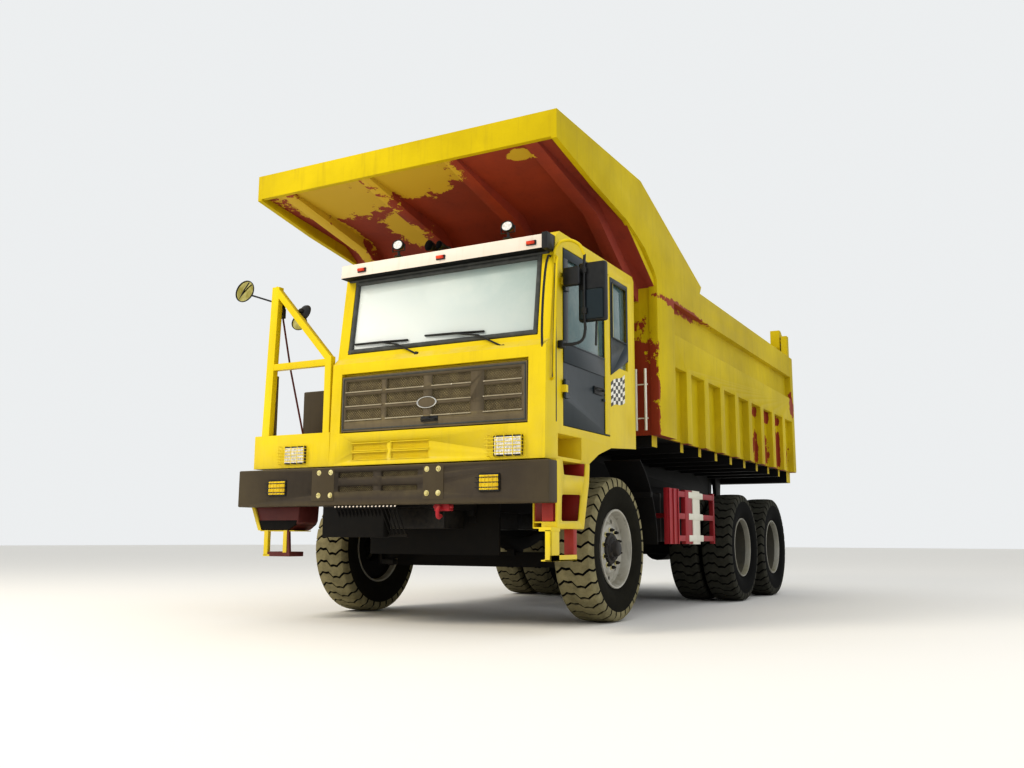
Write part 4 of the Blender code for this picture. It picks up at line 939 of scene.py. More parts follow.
def makeRearRim():
    shell = [
        (0.3565, 0.346), (0.3570, 0.357), (0.350, 0.363), (0.342, 0.360), (0.336, 0.345), (0.331, 0.300),
        (0.326, 0.200), (0.325, 0.110), (0.314, 0.076), (0.290, 0.050), (0.262, 0.044),
        (0.150, 0.044), (0.150, 0.022), (0.262, 0.022), (0.295, 0.030), (0.3285, 0.060), (0.340, 0.100),
        (0.3565, 0.150), (0.3565, 0.300), (0.3565, 0.346),
    ]
    rim = makeTurned("rim", shell, (0, 0, 0), (0, 0, 1), steps=72)
    holes = ringOf(lambda p: makeRod("hole", (*p, 0.0), (*p, 0.12), 0.026, 18), 8, 0.232)
    cutBy(rim, [mergePieces("holes", holes)])
    inner = makeTurned(
        "innerRim",
        [
            (0.3565, 0.15), (0.3565, -0.350), (0.350, -0.362), (0.340, -0.358), (0.333, -0.340),
            (0.328, -0.150), (0.300, -0.060), (0.225, -0.010), (0.150, -0.010), (0.150, 0.010), (0.240, 0.010),
            (0.345, 0.14), (0.3565, 0.15)
        ],
        (0, 0, 0), (0, 0, 1), steps=60
    )
    rim = paint(tidyMesh(mergePieces("rim", [rim, inner]), 32), lipPaint, rimDishShadePaint)
    # the dish inside the outer lip takes the dark dish paint: painted shade in the wheel's recess, with brake
    # dust
    return shadeRim(rim, lambda reach, along: along < 0.285)


def putWheel(prefix, body, parts, centre, outward, turn):
    # each entry: master, nodes that it stands for, slot, name, shift along the axle
    lean = Vector(outward).to_track_quat("Z", "Y").to_matrix().to_4x4()
    for master, stands, slotName, word, shift in parts:
        matrix = Matrix.Translation(
            Vector(centre) + Vector(outward) * shift
        ) @ lean @ Matrix.Rotation(turn, 4, "Z")
        twin = copyMoved(master, matrix, prefix + "_" + word)
        if slotName == "tyre_rubber":
            paint(twin, frontDustLitRubber if "front" in prefix else rightRearRubber if "right" in prefix else shadedRearRubber)
        place(twin, body, slotName, stands)


twinLook = {"centre": 1.235, "apart": 0.205}  # middle of a twin pair, and each tyre from it
tyreMaster, frontRim, rearRim = makeTyre(), makeFrontRim(), makeRearRim()
frontNuts, frontWashers = makeNuts(10, 0.168, 0.094)
rearNuts, rearWashers = makeNuts(10, 0.185, 0.044)
frontHub, rearHub = makeHub(0.098, 0.085), makeHub(0.048, 0.185)
print("wheel masters made")
for side, word in ((1, "left"), (-1, "right")):
    low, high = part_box(word + "_front_tyre")
    centre = (low + high) / 2
    centre.z = tyreLook["radius"]
    node = word + "_front_rim"
    parts = [
        (tyreMaster, (word + "_front_tyre",), "tyre_rubber", "tyre", 0),
        (frontRim, (node,), "rim_paint", "rim", 0),
        (frontHub, (), "black_paint", "hub", 0),
        (frontNuts, (), "black_paint", "nuts", 0),
        (frontWashers, (), "rim_paint", "washers", 0),
    ]
    putWheel("look_" + word + "_front", word + "_front_wheel", parts, centre, (side, 0, 0), 0.3)
    for axle in ("middle", "rear"):
        low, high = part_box(word + "_" + axle + "_twin_rim")
        centre = (low + high) / 2
        centre.x, centre.z = side * twinLook["centre"], tyreLook["radius"]
        parts = [
            (tyreMaster, (word + "_" + axle + "_outer_tyre",), "tyre_rubber", "outer_tyre", twinLook["apart"]),
            (tyreMaster, (word + "_" + axle + "_inner_tyre",), "tyre_rubber", "inner_tyre", -twinLook["apart"]),
            (rearRim, (word + "_" + axle + "_twin_rim",), "rim_paint", "rim", 0),
            (rearHub, (), "black_paint", "hub", 0),
            (rearNuts, (), "black_paint", "nuts", 0),
            (rearWashers, (), "rim_paint", "washers", 0),
        ]
        putWheel("look_" + word + "_" + axle, word + "_" + axle + "_wheel", parts, centre, (side, 0, 0), 0.7)
for master in (
    tyreMaster, frontRim, rearRim, frontNuts, frontWashers, rearNuts, rearWashers, frontHub, rearHub
):
    bpy.data.objects.remove(master, do_unlink=True)
print("wheels fitted")


def makeWireMesh(name, corner, far, pitch, thick):
    # expanded panel facing -Y between two corners (x, z) at a depth y
    lowX, lowZ, atY = corner
    highX, highZ = far
    wide, tall = highX - lowX, highZ - lowZ
    reach = max(wide, tall) * 1.5
    cells = max(2, round(reach / pitch))
    clearSelection()
    bpy.ops.mesh.primitive_grid_add(x_subdivisions=cells, y_subdivisions=cells, size=reach)
    panel = bpy.context.object
    panel.name = name
    middle = Vector(((lowX + highX) / 2, atY, (lowZ + highZ) / 2))
    spin = Matrix.Rotation(math.radians(45), 4, "Y") @ Matrix.Rotation(math.radians(90), 4, "X")
    panel.data.transform(Matrix.Translation(middle) @ spin)
    bpy.ops.object.mode_set(mode="EDIT")
    for spot, facing in (
        ((lowX, 0, 0), (-1, 0, 0)), ((highX, 0, 0), (1, 0, 0)), ((0, 0, lowZ), (0, 0, -1)),
        ((0, 0, highZ), (0, 0, 1))
    ):
        bpy.ops.mesh.select_all(action="SELECT")
        bpy.ops.mesh.bisect(plane_co=spot, plane_no=facing, clear_outer=True)
    leaveEdit()
    return applyModifier(panel, "WIREFRAME", thickness=thick, use_even_offset=False)


def repaint(nodeName, materials, rule):
    # a dressed node given other paints by face
    piece = bpy.data.objects["look_" + nodeName]
    paint(piece, *materials)
    for face in piece.data.polygons:
        face.material_index = rule(face.center, face.normal)
    return piece


hatchLook = {
    "columns": ((-0.425, -0.040), (0.010, 0.395), (0.480, 0.860), (0.985, 1.335)),
    "rows": ((1.755, 1.845), (1.880, 1.970), (2.005, 2.095)), "face": -4.204,
    "edging": (-0.452, 1.367, 1.672, 2.122)
}
hatch = bpy.data.objects["look_front_hatch"]
pockets, meshes, ledges = [], [], []
face = hatchLook["face"]
for x0, x1 in hatchLook["columns"]:
    for z0, z1 in hatchLook["rows"]:
        pockets.append(makeBox("pocket", (x0, face - 0.02, z0), (x1, face + 0.022, z1), 0.010))
        meshes.append(
            makeWireMesh(
                "grilleMesh", (x0 + 0.001, z0 + 0.001, face + 0.014), (x1 - 0.001, z1 - 0.001), 0.017, 0.0035
            )
        )
        ledges.append(
            makeBox(
                "ledge", (x0 - 0.006, face - 0.007, z0 - 0.010), (x1 + 0.006, face + 0.001, z0 + 0.001), 0.003
            )
        )
cutBy(hatch, [mergePieces("pockets", pockets)])
fit("grille_mesh", meshes, meshSteel, "front_hatch", "dark_grey_paint")
fit("grille_ledges", ledges, ledgeHighlightPaint, "front_hatch", "dark_grey_paint")
gx0, gx1, gz0, gz1 = hatchLook["edging"]
edgingRuns = (
    ((gx0, gz0), (gx1, gz0)), ((gx0, gz1), (gx1, gz1)), ((gx0, gz0), (gx0, gz1)), ((gx1, gz0), (gx1, gz1))
)
edging = [
    makeRod("rim", (a[0], face - 0.002, a[1]), (b[0], face - 0.002, b[1]), 0.006, 8) for a, b in edgingRuns
]
fit("grille_edging", edging, rubberSeal, "front_hatch", "dark_grey_paint")
clearSelection()
bpy.ops.mesh.primitive_torus_add(
    major_radius=0.075, minor_radius=0.008, major_segments=40, minor_segments=8,
    location=(0.435, face - 0.006, 1.862), rotation=(math.radians(90), 0, 0)
)
ring = bpy.context.object
ring.scale = (1.25, 0.62, 1)
place(paint(settle(ring), chrome), "front_hatch", "bright_steel")
ring.name = "blank_oval_ring"
oval = makeRod("blank_oval", (0.435, face - 0.001, 1.862), (0.435, face - 0.007, 1.862), 0.072, 40, 0.002)
squeeze(oval, (0.435, face, 1.862), (1.25, 1, 0.62))
place(paint(oval, panelPaint), "front_hatch", "dark_grey_paint")
handle = [
    makeBox("plate", (0.375, face - 0.006, 1.700), (0.545, face + 0.001, 1.745), 0.002),
    makeTube(
        "grip",
        [
            (0.39, face - 0.004, 1.716), (0.40, face - 0.032, 1.716), (0.52, face - 0.032, 1.716),
            (0.53, face - 0.004, 1.716)
        ],
        0.008
    ),
    makeRod("lock", (0.46, face - 0.004, 1.735), (0.46, face - 0.014, 1.735), 0.011, 16, 0.002),
]
fit("hatch_handle", handle, blackPlastic, "front_hatch", "dark_plastic")
print("hatch grille made")

# lower vents: two by two pressed openings with yellow expanded metal
cab = bpy.data.objects["look_cab_shell"]
vents, ventMesh, ventLips = [], [], []
for x0, x1 in ((-0.330, 0.040), (0.085, 0.465)):
    for z0, z1 in ((1.402, 1.462), (1.482, 1.542)):
        vents.append(makeBox("vent", (x0, -4.26, z0), (x1, -4.202, z1), 0.008))
        ventMesh.append(makeWireMesh("ventMesh", (x0, z0, -4.210), (x1, z1), 0.014, 0.003))
        ventLips.append(
            makeBox("lip", (x0 - 0.008, -4.224, z1 - 0.001), (x1 + 0.008, -4.218, z1 + 0.006), 0.0025)
        )
        ventLips.append(
            makeBox("lip", (x0 - 0.008, -4.224, z0 - 0.006), (x1 + 0.008, -4.218, z0 + 0.001), 0.0025)
        )
cutBy(cab, [mergePieces("vents", vents)])
fit("vent_mesh", ventMesh + ventLips, yellowPaint, "chassis", "yellow_paint")


def makeLamp(name, low, high, lens, bars, body="chassis", slotName="dark_plastic"):
    # recessed housing, ribbed lens and a wire guard in front, facing -Y
    (x0, z0), (x1, z1), front = low, high, bars["front"]
    housing = makeBox(
        "housing", (x0 - 0.012, front - 0.010, z0 - 0.012), (x1 + 0.012, front + 0.012, z1 + 0.012), 0.008
    )
    editFaces(housing, lambda index, face: face.normal.y < -0.99)
    bpy.ops.mesh.inset(thickness=0.006, depth=-0.008)
    leaveEdit()
    fit(name + "_housing", [housing], bars["frame"], body, slotName)
    glassPiece = makeBox("lens", (x0, front - 0.014, z0), (x1, front - 0.002, z1), 0.005)
    ribPlaces = [x0 + (x1 - x0) * (k + 0.5) / bars["ribs"] for k in range(bars["ribs"])]
    ribs = [
        makeRod("rib", (x, front - 0.014, z0 + 0.008), (x, front - 0.014, z1 - 0.008), 0.004, 8)
        for x in ribPlaces
    ]
    fit(name + "_lens", [glassPiece, *ribs], lens, body, "bright_steel")
    wires = []
    reach, proud = bars["reach"], front - bars["proud"]
    for k in range(bars["rows"]):
        z = z0 + (z1 - z0) * (k + 0.5) / bars["rows"]
        wires.append(
            makeTube(
                "wire",
                [
                    (x0 - reach, front, z), (x0 - reach, proud, z), (x1 + reach * 0.3, proud, z),
                    (x1 + reach * 0.3, front, z)
                ],
                bars["wire"], smooth=False
            )
        )
    for k in range(bars["posts"]):
        x = x0 - reach * 0.7 + (x1 - x0 + reach) * k / max(1, bars["posts"] - 1)
        wires.append(
            makeTube(
                "wire",
                [
                    (x, front, z1 + 0.012), (x, proud, z1 + 0.012), (x, proud, z0 - 0.012),
                    (x, front, z0 - 0.012)
                ],
                bars["wire"], smooth=False
            )
        )
    fit(name + "_guard", wires, bars["paint"], body, "yellow_paint")


headGuard = {
    "front": -4.226, "ribs": 9, "reach": 0.070, "proud": 0.042, "rows": 5, "posts": 5, "wire": 0.0032,
    "paint": yellowPaint, "frame": blackPlastic
}
makeLamp("left_headlamp", (1.105, 1.392), (1.345, 1.535), clearLens, headGuard)
makeLamp("right_headlamp", (-1.080, 1.398), (-0.855, 1.535), clearLens, headGuard)
fogGuard = dict(
    headGuard, front=-4.254, ribs=5, reach=0.034, proud=0.016, rows=3, posts=0, wire=0.0035, paint=blackPlastic,
    frame=blackPlastic
)
makeLamp("left_fog_lamp", (0.985, 1.115), (1.160, 1.235), amberLens, fogGuard)
makeLamp("right_fog_lamp", (-1.230, 1.115), (-1.040, 1.235), amberLens, fogGuard)

bumper = repaint("front_bumper", (bumperPaint, blackPaint), lambda c, n: 1 if c.z < 1.0 else 0)
slots, slotMesh = [], []
for x0, x1 in ((-0.450, -0.070), (0.010, 0.385)):
    for z in (1.152, 1.272):
        slots.append(makeBox("slot", (x0, -4.30, z - 0.026), (x1, -4.225, z + 0.026), 0.0145))
        slotMesh.append(makeWireMesh("slotMesh", (x0, z - 0.026, -4.228), (x1, z + 0.026), 0.014, 0.0035))
cutBy(bumper, [mergePieces("slots", slots)])
fit("bumper_mesh", slotMesh, meshSteel, "chassis", "dark_grey_paint")
bolts = []
for x in (-0.660, -0.530, 0.476, 0.590):
    for z in (1.100, 1.298):
        bolts.append(makeRod("washer", (x, -4.249, z), (x, -4.254, z), 0.024, 20, 0.001))
        bolts.append(
            makeTurned(
                "dome", [(0.0, 0.016), (0.008, 0.0145), (0.015, 0.009), (0.018, 0.0)], (x, -4.253, z),
                (0, -1, 0), steps=20
            )
        )
fit("bumper_bolts", bolts, zincBolt, "chassis", "bright_steel")
doublers = [
    makeBox("doubler", (-0.740, -4.253, 1.050), (-0.490, -4.248, 1.325), 0.0015),
    makeBox("doubler", (0.440, -4.253, 1.050), (0.640, -4.248, 1.325), 0.0015),
]
fit("bumper_doublers", doublers, bumperPaint, "chassis", "dark_grey_paint")

# sloping guard under the bumper: thin bars with a row of bright tips along the top
guardLook = {"count": 17, "start": -0.470, "pitch": 0.0395}
guardBars, tips = [], []
for k in range(guardLook["count"]):
    x = guardLook["start"] + k * guardLook["pitch"]
    guardBars.append(makeRod("bar", (x, -4.243, 1.000), (x + 0.045, -4.140, 0.750), 0.0065, 8))
    tips.append(makeRod("tip", (x, -4.252, 0.998), (x, -4.238, 0.998), 0.008, 8))
guardBars.append(makeRod("rail", (-0.485, -4.243, 0.990), (0.175, -4.243, 0.990), 0.010, 10))
guardBars.append(makeRod("rail", (-0.440, -4.140, 0.755), (0.220, -4.140, 0.755), 0.010, 10))
fit("guard_bars", guardBars, blackPaint, "chassis", "black_paint")
fit("guard_tips", tips, creamPaint, "chassis", "cream_paint")

# tow hook: bent flat bar, with its pin and eye
hook = [
    makeTube(
        "hook",
        [
            (0.585, -4.150, 0.985), (0.585, -4.215, 0.985), (0.585, -4.240, 0.965), (0.585, -4.246, 0.925),
            (0.585, -4.235, 0.905), (0.585, -4.195, 0.915)
        ],
        0.017
    ),
    makeBox("lug", (0.520, -4.200, 0.955), (0.665, -4.130, 1.025), 0.006),
    makeRod("pin", (0.505, -4.180, 0.990), (0.690, -4.180, 0.990), 0.013, 16, 0.002),
]
fit("tow_hook", hook, redPaint, "chassis", "red_paint")
print("bumper made")

# windscreen: black rubber all round, wipers, visor lamps
screenPlane = {"lowY": -4.112, "lowZ": 2.36, "highY": -4.024, "highZ": 3.056}
slope = (screenPlane["highY"] - screenPlane["lowY"]) / (screenPlane["highZ"] - screenPlane["lowZ"])


def onScreen(x, z, proud=0.0):
    # a point on the leaning glass, or this far in front of it
    return (x, screenPlane["lowY"] + (z - screenPlane["lowZ"]) * slope - proud, z)


sealPath = [(-0.455, 2.385), (1.415, 2.385), (1.415, 3.035), (-0.455, 3.035)]
sealRuns = zip(sealPath, sealPath[1:] + sealPath[:1])
seal = [makeRod("seal", onScreen(*a, 0.006), onScreen(*b, 0.006), 0.022, 12) for a, b in sealRuns]
seal += [makeRod("corner", onScreen(*p, -0.014), onScreen(*p, 0.026), 0.022, 12) for p in sealPath]
fit("windscreen_seal", seal, rubberSeal, "chassis", "dark_plastic")


def makeWiper(name, pivot, elbow, bladeStart, bladeEnd):
    bladeMiddle = onScreen((bladeStart[0] + bladeEnd[0]) / 2, (bladeStart[1] + bladeEnd[1]) / 2, 0.034)
    parts = [
        makeRod("boss", onScreen(*pivot, -0.02), onScreen(*pivot, 0.045), 0.020, 16, 0.003),
        makeTube("arm", [onScreen(*pivot, 0.036), onScreen(*elbow, 0.050), bladeMiddle], 0.008, smooth=False),
        makeTube(
            "holder", [onScreen(*bladeStart, 0.018), bladeMiddle, onScreen(*bladeEnd, 0.018)], 0.007,
            smooth=False
        ),
        makeTube("blade", [onScreen(*bladeStart, 0.012), onScreen(*bladeEnd, 0.012)], 0.009, smooth=False),
    ]
    fit(name, parts, blackPlastic, "chassis", "dark_plastic")


makeWiper("left_wiper", (1.140, 2.280), (0.90, 2.400), (0.340, 2.460), (0.930, 2.440))
makeWiper("right_wiper", (0.280, 2.300), (0.08, 2.400), (-0.420, 2.452), (0.160, 2.440))


def makeMarker(name, spot, wide=0.052):
    base = makeBox(
        "base", (spot[0] - wide, spot[1] - 0.004, spot[2] - 0.020),
        (spot[0] + wide, spot[1] + 0.012, spot[2] + 0.020), 0.004
    )
    dome = makeBox(
        "dome", (spot[0] - wide * 0.8, spot[1] - 0.024, spot[2] - 0.014),
        (spot[0] + wide * 0.8, spot[1], spot[2] + 0.014), 0.008, 3
    )
    fit(name + "_base", [base], blackPlastic, "chassis", "dark_plastic")
    fit(name + "_lens", [dome], redLens, "chassis", "red_paint")


for k, x in enumerate((-0.330, 0.515, 1.395)):
    makeMarker("visor_lamp_" + str(k + 1), (x, -4.162, 3.122), 0.045)


def makeWorkLamp(name, spot, lit):
    x, y, z = spot
    flatten = (1, 1, 0.78)
    bowl = makeTurned(
        "bowl", [(0.0, 0.050), (0.030, 0.048), (0.052, 0.030), (0.060, 0.0), (0.060, -0.012), (0.052, -0.014)],
        (x, y, z), (0, 1, 0), steps=28
    )
    squeeze(bowl, spot, flatten)
    glassPiece = makeRod("glass", (x, y - 0.010, z), (x, y - 0.004, z), 0.054, 28, 0.002)
    squeeze(glassPiece, spot, flatten)
    stay = [
        makeTube(
            "fork",
            [
                (x - 0.066, y + 0.01, z), (x - 0.066, y + 0.01, z - 0.055), (x + 0.066, y + 0.01, z - 0.055),
                (x + 0.066, y + 0.01, z)
            ],
            0.006, smooth=False
        ),
        makeRod("stalk", (x, y + 0.01, z - 0.052), (x, y + 0.02, 3.255), 0.012, 12),
        makeBox("foot", (x - 0.035, y - 0.015, 3.255), (x + 0.035, y + 0.055, 3.266), 0.003),
    ]
    fit(name + "_body", [bowl, *stay], blackPlastic, "chassis", "dark_plastic")
    fit(name + "_glass", [glassPiece], lit, "chassis", "bright_steel")


for name, x in (("right_work_lamp", -0.060), ("left_work_lamp", 1.075)):
    makeWorkLamp(name, (x, -3.985, 3.365), clearLens)
horn = [
    makeTurned(
        "bell", [(0.050, -0.02), (0.046, 0.0), (0.024, 0.045), (0.014, 0.110), (0.020, 0.150), (0.0, 0.165)],
        (0.300, -4.000, 3.300), (0.2, 1, 0), steps=28
    ),
    makeTurned(
        "bell", [(0.038, -0.02), (0.034, 0.0), (0.018, 0.035), (0.012, 0.090), (0.016, 0.120), (0.0, 0.130)],
        (0.400, -3.990, 3.295), (0.2, 1, 0), steps=28
    ),
    makeBox("foot", (0.270, -3.930, 3.255), (0.430, -3.860, 3.275), 0.004),
]
fit("air_horns", horn, blackPlastic, "chassis", "dark_plastic")
print("screen and roof fitted")


maroonPaint = agedPaint(
    "maroon_enamel",
    dict(redLook, base="#6E2A2A", deep="#54201F", grime="#2B1110", dustColour="#7D5A48", under="#3A1512")
)
signalRed = agedPaint("signal_red_enamel", dict(redLook, base="#A8332C", deep="#8C2823"))
sidePlate = makePlate(
    "side", [(-4.098, 1.354), (-3.462, 1.354), (-3.476, 1.200), (-3.585, 0.815), (-4.098, 0.815)], 0, 1.578,
    1.590, 0.003
)
windows = [
    makePlate(
        "window", [(-4.000, 1.40), (-3.535, 1.40), (-3.560, 1.245), (-3.962, 1.238)], 0, 1.5, 1.65, 0.012
    ),
    makePlate(
        "window", [(-4.000, 1.080), (-3.640, 1.092), (-3.685, 0.878), (-4.010, 0.872)], 0, 1.5, 1.65, 0.018
    ),
]
cutBy(sidePlate, [mergePieces("windows", windows)])
stepLook = [
    sidePlate,
    makePlate(
        "inner", [(-4.098, 1.354), (-3.470, 1.354), (-3.600, 0.815), (-4.098, 0.815)], 0, 1.380, 1.388, 0.002
    ),
    makeBox("tread", (1.384, -4.090, 1.222), (1.580, -3.490, 1.234), 0.002),
    makeBox("tread", (1.384, -4.090, 0.856), (1.580, -3.600, 0.868), 0.002),
    makeBox("foot", (1.382, -4.098, 0.812), (1.586, -3.590, 0.824), 0.002),
    makeBox("front", (1.458, -4.100, 1.100), (1.588, -4.090, 1.352), 0.002),
    makeBox("flange", (1.458, -4.100, 0.820), (1.588, -4.088, 0.866), 0.002),
    makeBox("leg", (1.535, -4.190, 0.562), (1.586, -4.180, 0.800), 0.002),
    makeBox("legSide", (1.574, -4.190, 0.562), (1.586, -4.040, 0.800), 0.002),
    makeBox("stepTread", (1.500, -4.190, 0.562), (1.586, -3.715, 0.574), 0.002),
    makeBox("treadSide", (1.576, -4.190, 0.562), (1.586, -3.715, 0.609), 0.002),
    makeBox("hanger", (1.480, -4.190, 0.790), (1.588, -4.030, 0.822), 0.002),
]
fit("look_left_step", stepLook, yellowPaint, "chassis", "yellow_paint", ("left_step",))
kicks = [
    makeBox("kick", (1.390, -4.080, 1.236), (1.397, -3.548, 1.352), 0.002),
    makeBox("kick", (1.390, -4.080, 0.870), (1.397, -3.632, 1.218), 0.002),
    makeBox("end", (1.390, -3.556, 1.236), (1.577, -3.548, 1.352), 0.002),
    makeBox("end", (1.390, -3.640, 0.870), (1.577, -3.632, 1.218), 0.002),
    makeBox("front", (1.462, -4.099, 0.868), (1.560, -4.092, 1.098), 0.002),
    makeBox("rearLeg", (1.500, -3.779, 0.574), (1.584, -3.715, 0.812), 0.003),
]
fit("left_step_kick_plates", kicks, signalRed, "chassis", "red_paint")
studLook = {"columns": 5, "rows": 10, "across": 0.024, "along": 0.030, "low": 0.571, "high": 0.5765}
gripStuds = []
for i in range(studLook["columns"]):
    for j in range(studLook["rows"]):
        x, y = 1.478 + studLook["across"] * i, -4.080 + studLook["along"] * j
        gripStuds.append(makeRod("stud", (x, y, studLook["low"]), (x, y, studLook["high"]), 0.0065, 6))
fit("left_step_grip_studs", gripStuds, yellowPaint, "chassis", "yellow_paint")

pan = makePlate(
    "pan",
    [(-1.580, 1.100), (-1.010, 1.100), (-1.024, 0.872), (-1.050, 0.858), (-1.120, 0.800), (-1.470, 0.800)], 1,
    -4.085, -3.800, 0.020
)
panSeam = makePlate(
    "seam", [(-1.545, 0.890), (-1.036, 0.890), (-1.056, 0.852), (-1.124, 0.806), (-1.468, 0.806)], 1, -4.091,
    -3.794, 0.006
)
fit("look_right_step", [pan], maroonPaint, "chassis", "yellow_paint", ("right_step",))
fit("right_step_pan_floor", [panSeam], blackPaint, "chassis", "black_paint")
rightFrame = [
    makePlate(
        "brace", [(-1.620, 1.100), (-1.580, 1.100), (-1.452, 0.800), (-1.492, 0.800)], 1, -4.098, -4.040, 0.003
    ),
    makeBox("leg", (-1.415, -4.098, 0.572), (-1.365, -4.060, 0.802), 0.004),
    makeBox("leg", (-1.185, -4.098, 0.600), (-1.140, -4.072, 0.802), 0.004),
    makeBox("foot", (-1.420, -4.098, 0.566), (-1.340, -4.060, 0.584), 0.004),
    makeBox("gusset", (-1.470, -4.090, 0.792), (-1.060, -3.860, 0.800), 0.002),
]
fit("right_step_frame", rightFrame, yellowPaint, "chassis", "yellow_paint")
rightTread = [
    makeBox("tread", (-1.380, -4.096, 0.566), (-1.105, -3.900, 0.609), 0.006),
    makePlate(
        "edge", [(-1.140, 0.800), (-1.118, 0.800), (-1.100, 0.572), (-1.128, 0.572)], 1, -4.098, -4.072, 0.002
    ),
]
fit("right_step_tread", rightTread, maroonPaint, "chassis", "red_paint")
print("steps made")

# cab side: door trims, quarter window, pillar, decal, grab rail
doorTrim = [makeBox("pillar", (1.551, -3.040, 1.655), (1.558, -2.934, 3.128), 0.002)]
fit("door_pillar", doorTrim, yellowPaint, "left_door", "yellow_paint")
belt = [
    makeBox("belt", (1.5505, -3.885, 2.165), (1.556, -3.041, 2.325), 0.002),
    makeBox("seal", (1.5505, -3.885, 2.322), (1.559, -3.041, 2.336), 0.003),
    makeBox("head", (1.5505, -3.885, 3.050), (1.556, -3.041, 3.128), 0.002),
    makeBox("front", (1.5505, -3.888, 2.335), (1.556, -3.800, 3.050), 0.002),
]
fit("door_belt", belt, doorPaint, "left_door", "door_paint")
pull = [
    makeBox("cup", (1.5495, -3.280, 1.985), (1.561, -3.090, 2.055), 0.005),
    makeTube(
        "lever",
        [(1.560, -3.270, 2.035), (1.582, -3.255, 2.035), (1.582, -3.120, 2.030), (1.560, -3.105, 2.030)], 0.008
    ),
    makeRod("lock", (1.556, -3.070, 1.950), (1.566, -3.070, 1.950), 0.014, 18, 0.002),
]
fit("door_handle", pull, blackPlastic, "left_door", "dark_plastic")
winder = makeTube(
    "seal", [(1.541, -3.790, 2.330), (1.541, -3.790, 3.060), (1.541, -3.030, 3.060), (1.541, -3.030, 2.330)],
    0.008, smooth=False
)
fit("door_glass_seal", [winder], rubberSeal, "left_door", "dark_plastic")
quarter = makePlate(
    "quarterFrame", [(-2.900, 2.205), (-2.480, 2.395), (-2.480, 3.125), (-2.900, 3.125)], 0, 1.5505, 1.557,
    0.003
)
cutBy(quarter, [makeBox("opening", (1.5, -2.860, 2.560), (1.6, -2.520, 3.080), 0.015)])
fit("quarter_window_frame", [quarter], doorPaint, "chassis", "door_paint")
quarterSeal = makeTube(
    "seal",
    [
        (1.557, -2.860, 2.560), (1.557, -2.520, 2.560), (1.557, -2.520, 3.080), (1.557, -2.860, 3.080),
        (1.557, -2.860, 2.560)
    ],
    0.007, smooth=False
)
fit("quarter_window_seal", [quarterSeal], rubberSeal, "chassis", "dark_plastic")
clearSelection()
bpy.ops.mesh.primitive_grid_add(x_subdivisions=6, y_subdivisions=7, size=2)
decal = bpy.context.object
decal.name = "checker_decal"
for vertex in decal.data.vertices:
    u, v = (vertex.co.x + 1) / 2, (vertex.co.y + 1) / 2
    low, high = 1.916 + 0.076 * u, 2.140 + 0.119 * u
    vertex.co = (1.5512, -2.895 + 0.33 * u, low + (high - low) * v + 0.012 * math.sin(u * 2 * math.pi))
blackVinyl = plainMaterial("cast_vinyl_film_black", {"dark": "#3A3834", "light": "#55524C", "rough": 0.5})
whiteVinyl = plainMaterial("cast_vinyl_film_white", {"dark": "#D6D2C2", "light": "#F1EEE2", "rough": 0.45})
paint(decal, blackVinyl, whiteVinyl)
for index, tile in enumerate(decal.data.polygons):
    tile.material_index = (index % 6 + index // 6) % 2
applyModifier(decal, "SOLIDIFY", thickness=0.001, offset=0)
place(decal, "chassis", "door_paint")
rails = [
    makeTube(
        "grab",
        [
            (1.551, -4.100, 1.990), (1.582, -4.120, 2.000), (1.582, -4.124, 2.05), (1.582, -4.064, 2.95),
            (1.582, -4.058, 3.01), (1.551, -4.050, 3.020)
        ],
        0.011
    ),
    makeTube(
        "arm",
        [
            (1.551, -4.040, 2.960), (1.570, -4.050, 3.090), (1.620, -4.010, 3.150), (1.720, -3.940, 3.125),
            (1.757, -3.905, 3.040)
        ],
        0.014
    ),
]
fit("cab_grab_rail", rails, yellowPaint, "chassis", "yellow_paint")
gap = makeBox("gap", (1.5495, -4.026, 1.660), (1.5525, -4.012, 3.100), 0.001)
fit("front_corner_seal", [gap], rubberSeal, "chassis", "dark_plastic")
print("cab side made")

head = makeBox("head", (1.695, -3.905, 2.478), (1.940, -3.842, 2.975), 0.022, 4)
lowerPanel = makeBox("panel", (1.712, -3.912, 2.492), (1.922, -3.900, 2.745), 0.012, 3)
tubes = [
    makeTube(
        "post",
        [
            (1.757, -3.905, 3.045), (1.757, -3.915, 2.95), (1.757, -3.915, 2.50), (1.757, -3.905, 2.400),
            (1.735, -3.915, 2.325), (1.680, -3.935, 2.296), (1.572, -3.970, 2.296)
        ],
        0.012
    ),
    makeBox("clamp", (1.551, -4.000, 2.262), (1.600, -3.935, 2.325), 0.008),
    makeBox("clip", (1.735, -3.930, 2.880), (1.780, -3.895, 2.930), 0.005),
    makeBox("clip", (1.735, -3.930, 2.540), (1.780, -3.895, 2.590), 0.005),
    makeTube("strut", [(1.848, -3.880, 2.480), (1.852, -3.900, 2.36), (1.856, -3.915, 2.270)], 0.009),
]
wide = makeBox("wide", (1.585, -3.975, 2.775), (1.735, -3.920, 2.935), 0.020, 3)
fit("look_left_mirror", [head, wide, *tubes], blackPlastic, "chassis", "dark_plastic", ("left_mirror",))
fit("left_mirror_panel", [lowerPanel], doorPaint, "chassis", "dark_grey_paint")
mirrorGlass = plainMaterial(
    "silvered_mirror_glass", {"dark": "#B9BDBE", "light": "#DADDDD", "rough": 0.05, "metal": 1.0, "bump": 0.02}
)
panes = [
    makeBox("pane", (1.712, -3.846, 2.495), (1.922, -3.838, 2.958), 0.003),
    makeBox("pane", (1.598, -3.924, 2.788), (1.722, -3.916, 2.922), 0.003)
]
fit("left_mirror_glass", panes, mirrorGlass, "chassis", "bright_steel")

